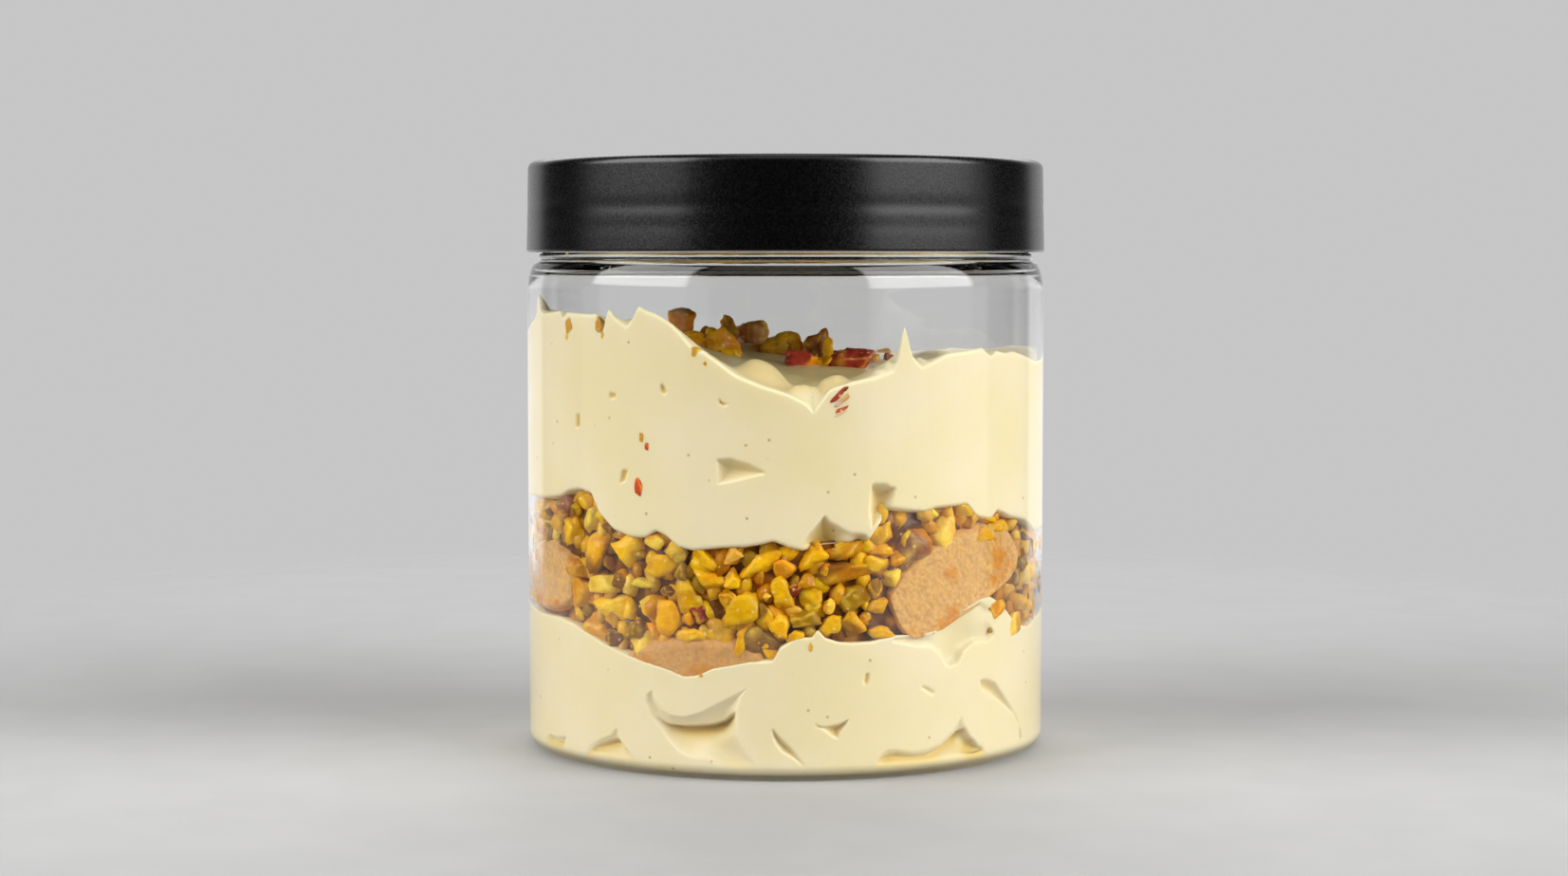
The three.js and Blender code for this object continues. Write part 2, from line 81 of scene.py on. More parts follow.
glass = {
    "radius": 46.0,
    "wall": 1.0,
    "seenDepth": 0.3,
    "reachIn": 0.24,
    "footCorner": 2.6,
    "standingWidth": 4.5,
    "standingEdge": 0.35,
    "footSlope": 1.5,
    "floor": 1.7,
    "innerCorner": 2.2,
    "pushUp": 0.6,
    "shoulderStart": 84.0,
    "shoulderRound": 1.9,
    "shoulderBend": 80.4,
    "innerShoulder": 1.2,
    "innerNeck": 1.0,
    "grooveStart": 0.5,
    "grooveRound": 0.35,
    "beadRadius": 0.7,
    "beadFillet": 0.25,
    "neckRadius": 43.3,
    "neckBore": 42.2,
    "neckTop": 101.8,
    "rimRound": 0.3,
    "sides": 256,
}
bore = glass["radius"] - glass["wall"]
foodRadius = bore + glass["reachIn"]  # food reaches just into the wall, so that no air gap shows
mmPerDegree = math.radians(bore)  # along the wall's inner face


def onJar(bearing, radius, height):
    # A point at a bearing and a distance from the jar's axis.
    turn = np.radians(bearing)
    parts = np.broadcast_arrays(radius * np.sin(turn), -radius * np.cos(turn), height)
    return np.stack(parts, axis=-1).astype(float)


def halfTurn(bearing):
    # The same bearing, between -180 and 180.
    return (bearing + 180) % 360 - 180


def axisDistance(points):
    # Distance of each point from the jar's axis.
    return np.hypot(points[..., 0], points[..., 1])


def moveOut(points, by):
    # Rows of points moved away from the jar's axis by so many mm.
    points[:, :2] *= (1 + by / np.maximum(axisDistance(points), 1))[:, None]


def onGlass(photoPoints):
    # Where the sight lines through the photo's points meet the glass: (bearing, height) of each.
    points = np.asarray(photoPoints, float)
    across = (points[:, 0] - view["photoWide"] / 2) / focal
    upward = (view["photoHigh"] / 2 - points[:, 1]) / focal
    tilt = math.radians(view["lookDown"])
    forward = math.cos(tilt) + upward * math.sin(tilt)
    rise = -math.sin(tilt) + upward * math.cos(tilt)
    # across * t + aside and forward * t - distance lie on a cylinder, the seen depth inside the wall's
    # outer face: a quadratic in t
    a = across**2 + forward**2
    b = 2 * (view["aside"] * across - view["distance"] * forward)
    c = view["distance"] ** 2 + view["aside"] ** 2 - (glass["radius"] - glass["seenDepth"]) ** 2
    t = (-b - np.sqrt(np.maximum(b * b - 4 * a * c, 0))) / (2 * a)
    x = view["aside"] + across * t
    y = -view["distance"] + forward * t
    return np.stack([np.degrees(np.arctan2(x, -y)), view["height"] + rise * t], axis=-1)


def softNoise(points, size, seed):
    # Value noise from -1 to 1: a random number at each corner of a cubic lattice, eased in between.
    table = np.random.default_rng(seed).uniform(-1, 1, 4096)
    cell = np.floor(points / size).astype(np.int64)
    share = points / size - cell
    ease = share * share * (3 - 2 * share)
    total = 0
    for corner in itertools.product((0, 1), repeat=3):
        at = cell + np.array(corner)
        mixed = (at[..., 0] * 73856093) ^ (at[..., 1] * 19349663) ^ (at[..., 2] * 83492791)
        total = total + table[mixed % 4096] * np.prod(np.where(corner, ease, 1 - ease), axis=-1)
    return total


def smoothStep(low, high, value):
    # 0 below low, 1 above high, and 3t^2 - 2t^3 in between.
    t = np.clip((value - low) / (high - low), 0, 1)
    return t * t * (3 - 2 * t)


def putMesh(name, points, faces, material, smooth=True, marks=None, body="root"):
    # A mesh object from arrays: points in millimetres, faces as rows of corner numbers, and marks as
    # one number or one colour for each point.
    mesh = bpy.data.meshes.new(name)
    points = np.asarray(points, float).reshape(-1, 3) * metresPerMm
    faces = np.asarray(faces, np.int32)
    corners = faces.shape[1]
    mesh.vertices.add(len(points))
    mesh.vertices.foreach_set("co", points.ravel())
    mesh.loops.add(faces.size)
    mesh.loops.foreach_set("vertex_index", faces.ravel())
    mesh.polygons.add(len(faces))
    mesh.polygons.foreach_set("loop_start", np.arange(0, faces.size, corners, dtype=np.int32))
    mesh.update(calc_edges=True)
    mesh.polygons.foreach_set("use_smooth", np.full(len(faces), smooth))
    for title, values in (marks or {}).items():
        values = np.asarray(values, np.float32)
        if values.ndim == 1:
            mesh.attributes.new(title, "FLOAT", "POINT").data.foreach_set("value", values)
        else:
            full = np.ones((len(values), 4), np.float32)
            full[:, :3] = values
            mesh.attributes.new(title, "FLOAT_COLOR", "POINT").data.foreach_set("color", full.ravel())
    mesh.materials.append(material)
    piece = bpy.data.objects.new(name, mesh)
    bpy.context.scene.collection.objects.link(piece)
    if body:
        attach(piece, body)
    return piece


def skinRings(rings, first, last):
    # Closed skin over rings of points, rows from the first pole to the last, as triangles.
    rows, sides = rings.shape[:2]
    points = np.concatenate([first[None], rings.reshape(-1, 3), last[None]])
    number = 1 + np.arange(rows * sides).reshape(rows, sides)
    beside = np.roll(number, -1, axis=1)
    side = np.concatenate([
        np.stack([number[:-1], beside[:-1], beside[1:]], -1).reshape(-1, 3),
        np.stack([number[:-1], beside[1:], number[1:]], -1).reshape(-1, 3),
    ])
    foot = np.stack([np.zeros_like(number[0]), beside[0], number[0]], -1)
    top = np.stack([np.full_like(number[-1], len(points) - 1), number[-1], beside[-1]], -1)
    return points, np.concatenate([foot, side, top])


def arc(centreRadius, centreHeight, radius, start, end, steps):
    # Points of a round corner of a profile, between two angles in degrees.
    turn = np.radians(np.linspace(start, end, steps + 1))
    return np.stack([centreRadius + radius * np.cos(turn), centreHeight + radius * np.sin(turn)], -1)


def lathe(profile, sides):
    # A profile of (radius, height) rows turned about the axis; its first and last rows are on the axis.
    profile = np.asarray(profile, float)
    bearing = np.arange(sides) * 360 / sides
    rings = onJar(bearing[None, :], profile[1:-1, :1], profile[1:-1, 1:])
    return skinRings(rings, np.array([0, 0, profile[0, 1]]), np.array([0, 0, profile[-1, 1]]))


def joined(*skins):
    # Several sets of points and faces as one.
    points, faces, start = [], [], 0
    for somePoints, someFaces in skins:
        points.append(somePoints)
        faces.append(someFaces + start)
        start += len(somePoints)
    return np.concatenate(points), np.concatenate(faces)


def newMaterial(name):
    # A material that shows one Principled shader: the material, its node tree and the shader.
    material = bpy.data.materials.new(name)
    material.use_nodes = True
    tree = material.node_tree
    tree.nodes.clear()
    shader = addNode(tree, "ShaderNodeBsdfPrincipled")
    addNode(tree, "ShaderNodeOutputMaterial", {"Surface": shader.outputs["BSDF"]})
    return material, tree, shader


def setInputs(node, values):
    # Each named input takes a plain value, or a link from another node's output.
    for key, value in values.items():
        if isinstance(value, bpy.types.NodeSocket):
            node.id_data.links.new(value, node.inputs[key])
        else:
            node.inputs[key].default_value = value


def addNode(tree, kind, inputs=None, **settings):
    # A node with its settings and inputs.
    node = tree.nodes.new(kind)
    for key, value in settings.items():
        setattr(node, key, value)
    setInputs(node, inputs or {})
    return node


def worked(tree, operation, *values):
    # What a Math node makes of one to three values.
    return addNode(tree, "ShaderNodeMath", dict(enumerate(values)), operation=operation).outputs["Value"]


def ranged(tree, value, low, high, toLow=0.0, toHigh=1.0, kind="LINEAR"):
    # toLow at low, toHigh at high, in proportion between them and held beyond them.
    return addNode(tree, "ShaderNodeMapRange", {
        "Value": value, "From Min": low, "From Max": high, "To Min": toLow, "To Max": toHigh,
    }, interpolation_type=kind).outputs["Result"]


def eased(tree, value, low, high, toLow=0.0, toHigh=1.0):
    # The same, with 3t^2 - 2t^3 in between.
    return ranged(tree, value, low, high, toLow, toHigh, "SMOOTHSTEP")


def objectPlace(tree):
    # The place on the object, in metres.
    return addNode(tree, "ShaderNodeTexCoord").outputs["Object"]


def objectAxis(tree, axis):
    # One coordinate of that place.
    return addNode(tree, "ShaderNodeSeparateXYZ", {"Vector": objectPlace(tree)}).outputs[axis]


def meshMark(tree, title, output="Fac"):
    # A number or a colour that comes with the mesh's points.
    return addNode(tree, "ShaderNodeAttribute", attribute_name=title).outputs[output]


def noiseOn(tree, scale, detail):
    # Noise on Object coordinates.
    return addNode(tree, "ShaderNodeTexNoise", {
        "Vector": objectPlace(tree), "Scale": scale, "Detail": detail,
    }).outputs["Fac"]


def addGrain(tree, shader, scale, detail, strength, depthMm):
    # Noise as fine bumps on a shader; the noise is given back for other uses.
    noise = noiseOn(tree, scale, detail)
    bump = addNode(tree, "ShaderNodeBump", {
        "Height": noise, "Strength": strength, "Distance": depthMm * metresPerMm,
    })
    setInputs(shader, {"Normal": bump.outputs["Normal"]})
    return noise


def mixColours(tree, factor, first, second, blend="MIX"):
    # The mix of two colours, each a plain colour or another node's output.
    node = addNode(tree, "ShaderNodeMix", data_type="RGBA", blend_type=blend)
    colours = [number for number, socket in enumerate(node.inputs) if socket.type == "RGBA"]
    setInputs(node, dict(zip([0, *colours], [factor, first, second])))
    return next(out for out in node.outputs if out.type == "RGBA")


def mixShaders(tree, factor, first, second):
    # The material shows a mix of two shaders.
    mix = addNode(tree, "ShaderNodeMixShader", {
        0: factor, 1: first.outputs["BSDF"], 2: second.outputs["BSDF"],
    })
    setInputs(tree.nodes["Material Output"], {"Surface": mix.outputs["Shader"]})


def newGroup(name, inputs, output, kind):
    # A shader node group: its named inputs with their values, where a tuple is a colour, and its output.
    group = bpy.data.node_groups.new(name, "ShaderNodeTree")
    for title, value in inputs.items():
        inputKind = "NodeSocketColor" if isinstance(value, tuple) else "NodeSocketFloat"
        socket = group.interface.new_socket(title, in_out="INPUT", socket_type=inputKind)
        socket.default_value = value
    group.interface.new_socket(output, in_out="OUTPUT", socket_type=kind)
    return group, addNode(group, "NodeGroupInput").outputs, addNode(group, "NodeGroupOutput")


def makeMottle():
    # Two colours mixed by noise on Object coordinates.
    group, given, result = newGroup("mottle", {
        "First": (1, 1, 1, 1), "Second": (0, 0, 0, 1), "Scale": 100.0, "Low": 0.35, "High": 0.65,
    }, "Color", "NodeSocketColor")
    spread = eased(group, noiseOn(group, given["Scale"], 4.0), given["Low"], given["High"])
    setInputs(result, {"Color": mixColours(group, spread, given["First"], given["Second"])})
    return group


def makeSpecks():
    # Round specks scattered by a Voronoi pattern: a speck is where the nearest cell point is close, and
    # only some cells have one.
    group, given, result = newGroup("specks", {
        "Scale": 200.0, "Radius": 0.1, "Share": 0.3,
    }, "Mask", "NodeSocketFloat")
    cells = addNode(group, "ShaderNodeTexVoronoi", {"Vector": objectPlace(group), "Scale": given["Scale"]})
    close = ranged(group, cells.outputs["Distance"], given["Radius"], 0.0)
    chance = addNode(group, "ShaderNodeSeparateColor", {"Color": cells.outputs["Color"]})
    some = worked(group, "LESS_THAN", chance.outputs["Red"], given["Share"])
    setInputs(result, {"Mask": worked(group, "MULTIPLY", close, some)})
    return group


mottle = makeMottle()
specks = makeSpecks()


def mottled(tree, first, second, scale, low=0.35, high=0.65):
    # Two colours clouded together.
    return addNode(tree, "ShaderNodeGroup", {
        "First": first, "Second": second, "Scale": scale, "Low": low, "High": high,
    }, node_tree=mottle).outputs["Color"]


def speckled(tree, scale, radius, share):
    # Where the specks are.
    return addNode(tree, "ShaderNodeGroup", {
        "Scale": scale, "Radius": radius, "Share": share,
    }, node_tree=specks).outputs["Mask"]


def linear(red, green, blue):
    # A screen colour from 0 to 255 as the linear colour that a shader takes.
    share = np.array([red, green, blue]) / 255
    curve = np.where(share <= 0.04045, share / 12.92, ((share + 0.055) / 1.055) ** 2.4)
    return (*curve.tolist(), 1.0)


clearLooks = {
    "tint": (0.97, 0.975, 0.97, 1.0),
    "refraction": 1.5,
    "waves": {"scale": 35.0, "detail": 1.0, "strength": 0.02, "depthMm": 0.4},
}


def makeClearPlastic():
    # Clear plastic that refracts, and lets light through to the food without bending it.
    material, tree, shader = newMaterial("clear plastic")
    setInputs(shader, {
        "Base Color": clearLooks["tint"], "Transmission Weight": 1.0, "Roughness": 0.0,
        "IOR": clearLooks["refraction"],
    })
    addGrain(tree, shader, **clearLooks["waves"])
    through = addNode(tree, "ShaderNodeBsdfTransparent", {"Color": clearLooks["tint"]})
    path = addNode(tree, "ShaderNodeLightPath").outputs
    lit = worked(tree, "MAXIMUM", path["Is Shadow Ray"], path["Is Diffuse Ray"])
    mixShaders(tree, lit, shader, through)
    return material


thread = {
    "pitch": 4.2,
    "turns": 1.1,
    "steps": 120,
    "rootWidth": 2.4,
    "crestWidth": 0.9,
    "startBearing": 150.0,
    "startHeight": 92.0,
    "standsOut": 1.05,
    "sunkIn": 0.3,
    "clearance": 0.5,
    "fadeIn": 6.0,
    "leastCrest": 0.08,
}


def threadRidge(root, tip, startHeight):
    # A four-sided ridge that climbs by the pitch each turn, with its crest sinking to the root at both ends.
    share = np.linspace(0, 1, thread["steps"])
    full = np.minimum(1, thread["leastCrest"] + thread["fadeIn"] * np.minimum(share, 1 - share))
    bearing = thread["startBearing"] + 360 * thread["turns"] * share
    height = startHeight + thread["pitch"] * thread["turns"] * share
    crest = root + (tip - root) * full
    flat = root + 0 * crest
    outer, inner = thread["rootWidth"] / 2, thread["crestWidth"] / 2
    corners = [(flat, -outer), (crest, -inner), (crest, inner), (flat, outer)]
    if tip > root:
        corners.reverse()
    rings = np.stack([onJar(bearing, radius, height + half * full) for radius, half in corners], axis=1)
    middle = onJar(bearing, (root + crest) / 2, height)
    return skinRings(rings, middle[0], middle[-1])


def makeJar():
    # A profile turned about the axis: from the pushed-up floor out round the foot, up the wall, over
    # shoulder, groove and bead, round the rim and down the inside. The shoulder bends in slowly and then
    # quickly, as a quarter of a tall oval.
    g = glass
    neck, innerNeck = g["neckRadius"], g["innerNeck"]
    standing = g["radius"] - g["footCorner"]
    ring = standing - g["standingWidth"]
    shoulderTop = g["shoulderStart"] + g["shoulderRound"]
    beadHeight = shoulderTop + g["beadRadius"]
    rimHeight = g["neckTop"] - g["rimRound"]
    turn = np.radians(np.linspace(0, 84, 28))
    shoulder = np.stack([
        g["radius"] - g["shoulderRound"] + g["shoulderRound"] * np.cos(turn),
        g["shoulderBend"] + (shoulderTop - g["shoulderBend"]) * np.sin(turn),
    ], -1)
    profile = np.concatenate([
        [[0, g["pushUp"]], [ring - g["footSlope"], g["pushUp"]]],
        arc(ring, g["standingEdge"], g["standingEdge"], 240, 270, 3),
        arc(standing, g["footCorner"], g["footCorner"], -90, 0, 10),
        shoulder,
        arc(neck + g["grooveStart"], shoulderTop + g["grooveRound"], g["grooveRound"], -90, -170, 4),
        arc(neck, beadHeight, g["beadRadius"], -60, 60, 8),
        arc(neck + g["beadFillet"], beadHeight + g["beadRadius"] + 0.2, g["beadFillet"], 225, 180, 3),
        arc(neck - g["rimRound"], rimHeight, g["rimRound"], 0, 90, 4),
        arc(g["neckBore"] + g["rimRound"], rimHeight, g["rimRound"], 90, 180, 4),
        arc(g["neckBore"] + innerNeck, g["shoulderStart"] + g["innerShoulder"], innerNeck, 180, 225, 4),
        arc(bore - g["innerShoulder"], g["shoulderStart"] - innerNeck, g["innerShoulder"], 45, 0, 5),
        arc(bore - g["innerCorner"], g["floor"] + g["innerCorner"], g["innerCorner"], 0, -90, 8),
        [[0, g["floor"]]],
    ])
    ridge = threadRidge(neck - thread["sunkIn"], neck + thread["standsOut"], thread["startHeight"])
    points, faces = joined(lathe(profile, g["sides"]), ridge)
    jar = putMesh("clear_jar", points, faces, makeClearPlastic())
    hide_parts("jar")


makeJar()
print("jar made")

lid = {
    "height": 103.5,
    "skirtEnd": 87.5,
    "topRadius": 45.8,
    "skirtRadius": 46.1,
    "edgeRound": 1.4,
    "boreTop": 44.95,
    "boreEnd": 45.2,
    "ceiling": 102.2,
    "ceilingCorner": 0.6,
    # shallow grooves round the wall: height, half width, depth
    "grooves": [(95.1, 1.25, 0.05), (91.7, 1.2, 0.022)],
    "wallRows": 90,
    "sides": 256,
}
blackLooks = {
    "colour": (0.0008, 0.0008, 0.0009, 1.0),
    "fleck": (0.0018, 0.0018, 0.002, 1),
    "fleckScale": 1300.0,
    "grain": {"scale": 2600.0, "detail": 2.0, "strength": 0.5, "depthMm": 0.012},
    "roughSpread": 0.06,
    # the wall, and the flat top, which is duller: roughness, specular level
    "black plastic": (0.25, 0.5),
    "dull black plastic": (0.55, 0.04),
}


def makeBlackPlastic(name):
    # Satin black plastic with a fine sparkle of grain.
    material, tree, shader = newMaterial(name)
    roughness, specular = blackLooks[name]
    spread = blackLooks["roughSpread"]
    grain = addGrain(tree, shader, **blackLooks["grain"])
    setInputs(shader, {
        "Base Color": mottled(tree, blackLooks["colour"], blackLooks["fleck"], blackLooks["fleckScale"]),
        "Roughness": ranged(tree, grain, 0.3, 0.7, roughness - spread, roughness + spread),
        "Specular IOR Level": specular,
    })
    return material


def makeLid():
    # The lid's profile: ceiling, bore, skirt end, wall with shallow grooves, rounded edge and flat top.
    top, end = lid["height"] - lid["edgeRound"], lid["skirtEnd"]
    corner = lid["ceilingCorner"]
    heights = np.linspace(end + 0.25, top, lid["wallRows"])
    wall = lid["skirtRadius"] + (lid["topRadius"] - lid["skirtRadius"]) * (heights - end) / (top - end)
    for middle, half, depth in lid["grooves"]:
        wall = wall - depth * np.exp(-(((heights - middle) / half) ** 2))
    profile = np.concatenate([
        [[0, lid["ceiling"]], [lid["boreTop"] - corner, lid["ceiling"]]],
        arc(lid["boreTop"] - corner, lid["ceiling"] - corner, corner, 90, 0, 4),
        [[lid["boreEnd"], end + 0.1], [lid["boreEnd"] + 0.1, end], [lid["skirtRadius"] - 0.2, end]],
        np.stack([wall, heights], -1),
        arc(lid["topRadius"] - lid["edgeRound"], top, lid["edgeRound"], 8, 90, 14),
        [[20, lid["height"]], [0, lid["height"]]],
    ])
    ridge = threadRidge(lid["boreTop"] + thread["sunkIn"], glass["neckRadius"] + thread["clearance"],
                        thread["startHeight"] + thread["pitch"] / 2)
    points, faces = joined(lathe(profile, lid["sides"]), ridge)
    piece = putMesh("screw_lid", points, faces, makeBlackPlastic("black plastic"))
    piece.data.materials.append(makeBlackPlastic("dull black plastic"))
    flatTop = points[faces][:, :, 2].min(axis=1) > lid["height"] - 0.005
    piece.data.polygons.foreach_set("material_index", flatTop.astype(np.int32))
    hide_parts("lid")


makeLid()
print("lid made")

# Columns round the cream, crowded towards the shown side, and rows up its two sides.
creamGrid = {"columns": 640, "crowding": 0.45, "lowerRows": 95, "upperRows": 104}

# Heights of the layers where they meet the glass, as (bearing, height).
lowerCreamTop = [
    (-85, 26), (-81, 25.8), (-69, 24.8), (-58, 25), (-52, 24.3), (-47, 22.9), (-41, 21.4), (-35.7, 20.2),
    (-30.8, 19.2), (-26, 18.4), (-21.8, 17.3), (-18.6, 17.6), (-15.5, 18.8), (-7.5, 20.1), (-2.5, 20.3),
    (-1.2, 22.5), (2.3, 24.1), (5.6, 24.2), (6.7, 25.5), (8.2, 24.1), (11.2, 23.3), (14.2, 23.1),
    (18.4, 23.2), (20.9, 23.7), (23.5, 24), (29.8, 23.9), (33, 24.4), (36.5, 25.6), (41.5, 27.6),
    (46.5, 29), (49.5, 29.2), (54, 27.6), (58, 25), (62, 23.2), (67, 22.6), (72.6, 23.6), (84, 24.6),
    (95, 25), (108, 22.4), (120, 21), (133, 23), (145, 24),
    (157, 21.4), (170, 20), (183, 22.6), (195, 24.5), (208, 22.6), (222, 21), (236, 23.4), (250, 24.5),
]
upperCreamFoot = [
    (-85, 44), (-79.8, 44.5), (-65.4, 45), (-57.7, 45.7), (-53.7, 46.9), (-50, 47.3), (-46, 46.8),
    (-43.7, 43.7), (-39.5, 41), (-34.3, 39.9), (-30.7, 40), (-28.3, 41.2), (-26, 40.5), (-22.8, 38.6),
    (-19.6, 38.2), (-13.4, 38.8), (-8.4, 39), (-5.5, 39.4), (-2.5, 40), (0.4, 39.1), (3.3, 38.4),
    (8.2, 39.2), (13.2, 39.5), (17.3, 39.6), (20, 42.5), (22, 45.2), (25.8, 44.7), (30.4, 44.3),
    (34, 44.9), (42, 45.1), (44.9, 42.9), (49.8, 42.1), (52.2, 43.6), (57.4, 42.2), (64.8, 41.2),
    (72, 38.7), (80, 38.5), (92, 41.4), (105, 43), (118, 41), (130, 40), (140, 43), (150, 44.5),
    (163, 42), (175, 41), (188, 43.8), (200, 45), (213, 42), (225, 40), (238, 42.2), (250, 43),
]
upperCreamTop = [
    (-85, 73.5), (-80, 74.2), (-72, 76), (-70.6, 77), (-69.8, 80.2), (-69, 80.4), (-68.2, 77.4),
    (-66, 76.9), (-57.3, 77.5), (-56, 76.2), (-54.8, 77.3), (-46.5, 77), (-44.1, 77.2), (-42.9, 73.7),
    (-42, 74.6), (-40.6, 78.2), (-38.8, 76.6), (-35.4, 75.2), (-34, 76.4), (-32.4, 78.6), (-30.6, 77.8),
    (-28.2, 77.2), (-24.8, 75.8), (-22.7, 74.3), (-21.2, 73), (-19.9, 71.5), (-17.4, 71.2),
    (-14.4, 69.6), (-10.4, 67.3), (-5.4, 65.7), (0.4, 64.3), (4.3, 62.7), (5.8, 61.3), (9.2, 65),
    (14.2, 66.2), (19.3, 67), (23.2, 68), (24.6, 70), (25.2, 74.6), (25.6, 75.7), (26.4, 73.2),
    (27.4, 70.4), (29.6, 68.5), (32.7, 69.4), (36.4, 70.6), (41.8, 70.9), (46.6, 71.4), (49.5, 69.9),
    (51.5, 70.8), (55, 70.3), (58.3, 70.6), (71.2, 68.6), (80, 68.8), (88, 70.2), (97, 71), (110, 71.2),
    (122, 70.2), (135, 70.5), (148, 68.8), (160, 67.5), (172, 68.8), (185, 69.5), (200, 71.2),
    (215, 72), (230, 70.6), (245, 70), (258, 72),
]


def dent(*outline):
    # A shallow nick at the glass, painted dark inside as shade.
    return {"outline": outline, "depth": 0.45, "edge": 0.2, "foldShade": 9.0}


def hollow(path, halfWidth, depth, edge):
    # A pocket along a curve through (bearing, height), with its half widths in mm.
    return {"path": path, "halfWidth": halfWidth, "depth": depth, "edge": edge}


# Air pockets between folds at the glass, with outlines and ledges in photo points. The cream stands back
# by depth, most under a ledge, and a bulge, as (place, spread, rise), swells out of it again. Over edge mm
# from its outline a pocket gets deep, and a painted shade, scaled by the amount given, makes it darker and
# yellower.
lowerPockets = [
    {"outline": [(687, 726), (691, 737), (697, 747), (706, 753), (721, 755), (739, 750), (756, 741),
                 (774, 732), (788, 725), (781, 735), (776, 750), (776, 762), (778, 776), (785, 792),
                 (797, 807), (813, 821), (795, 823), (771, 819), (753, 810), (739, 805), (726, 800),
                 (714, 791), (703, 778), (696, 766), (685, 753), (680, 741), (680, 732)],
     "depth": 4.0, "edge": 1.3,
     "ledge": [(676, 740), (688, 755), (703, 765), (717, 767), (731, 767), (749, 766), (762, 762),
               (773, 753), (784, 742)],
     "bulges": [((748, 794), 2.4, 0.6), ((735, 818), 2.5, 0.8)], "foldShade": 1.2},
    {"outline": [(614, 798), (617, 791), (621, 785), (631, 779), (644, 774), (650, 765), (653, 780),
                 (667, 798), (694, 816), (672, 811), (640, 806), (624, 803)],
     "depth": 2.1, "edge": 0.5, "foldShade": 1.7,
     "ledge": [(608, 803), (621, 791), (631, 785), (645, 781), (653, 779), (670, 796)]},
    {"outline": [(580, 773), (587, 776), (597, 776), (596, 786), (594, 795), (585, 793), (576, 787),
                 (575, 777)], "depth": 1.9, "edge": 0.8, "foldShade": 2.0},
    {"outline": [(813, 767), (822, 777), (832, 786), (842, 798), (851, 808), (861, 812), (874, 815),
                 (861, 815), (849, 811), (837, 800), (824, 792), (818, 784), (814, 776)],
     "depth": 1.3, "edge": 0.5, "foldShade": 2.2},
    {"outline": [(856, 762), (865, 765), (875, 765), (884, 763), (895, 758), (892, 765), (887, 772),
                 (884, 779), (874, 774), (863, 768)], "depth": 1.9, "edge": 0.7,
     "bulges": [((868, 772), 0.9, 0.9)], "foldShade": 2.2},
    dent((912, 709), (917, 709), (917, 716), (914, 723), (911, 719)),
    {"outline": [(970, 722), (977, 723), (985, 728), (987, 733), (981, 731), (973, 726)],
     "depth": 0.6, "edge": 0.3, "foldShade": 5.0},
    {"outline": [(941, 676), (943, 672), (963, 669), (975, 667), (999, 656), (1016, 643), (1034, 632),
                 (1046, 640), (1044, 655), (1050, 668), (1043, 676), (1027, 678), (1016, 687), (1011, 698),
                 (1002, 703), (998, 700), (991, 690), (981, 684), (963, 680)], "depth": 1.3, "edge": 0.5,
     "bulges": [((985, 674), 2.6, 0.9), ((1035, 655), 3.4, 1.0)], "foldShade": 0.7},
    {"outline": [(1033, 716), (1041, 715), (1050, 719), (1057, 730), (1065, 743), (1072, 756),
                 (1076, 768), (1078, 777), (1074, 790), (1074, 776), (1074, 765), (1068, 752),
                 (1059, 743), (1047, 733), (1036, 727)], "depth": 1.3, "edge": 0.6, "foldShade": 2.0},
    {"outline": [(909, 821), (920, 807), (929, 794), (936, 790), (945, 790), (963, 792), (977, 790),
                 (991, 782), (1004, 771), (1010, 762), (1013, 752), (1016, 762), (1022, 775), (1031, 785),
                 (1043, 794), (1045, 801), (1025, 806), (999, 812), (963, 817), (927, 821)],
     "depth": 3.4, "edge": 0.9,
     "ledge": [(905, 812), (925, 800), (945, 795), (963, 797), (978, 795), (993, 788), (1006, 778),
               (1018, 768), (1040, 770)],
     "bulges": [((996, 794), 2.0, 0.5), ((1028, 796), 2.4, -3.4)], "foldShade": 1.3},
    {"outline": [(771, 820), (780, 816), (795, 817), (806, 818), (813, 823), (790, 825)], "depth": 5.0,
     "edge": 0.5},
    hollow([(96, 5), (108, 9), (118, 3)], [1.5, 3, 2.5], 4, 1.3),
    hollow([(128, 13), (134, 10), (140, 11)], [0.4, 1, 0.3], 1.6, 0.6),
    hollow([(150, 12), (163, 5), (176, 10)], [1.2, 3.6, 1.2], 4, 1.3),
    hollow([(186, 4), (192, 2), (200, 2)], [0.6, 1.6, 1.2], 2.5, 0.8),
    hollow([(208, 3), (222, 9), (234, 2.5)], [2, 3, 2.5], 4, 1.3),
    hollow([(240, 15), (246, 12), (250, 14)], [0.4, 1.1, 0.3], 1.6, 0.6),
    hollow([(-104, 4), (-94, 10), (-84, 3.5)], [1.5, 2.6, 1.5], 3, 1.2),
]
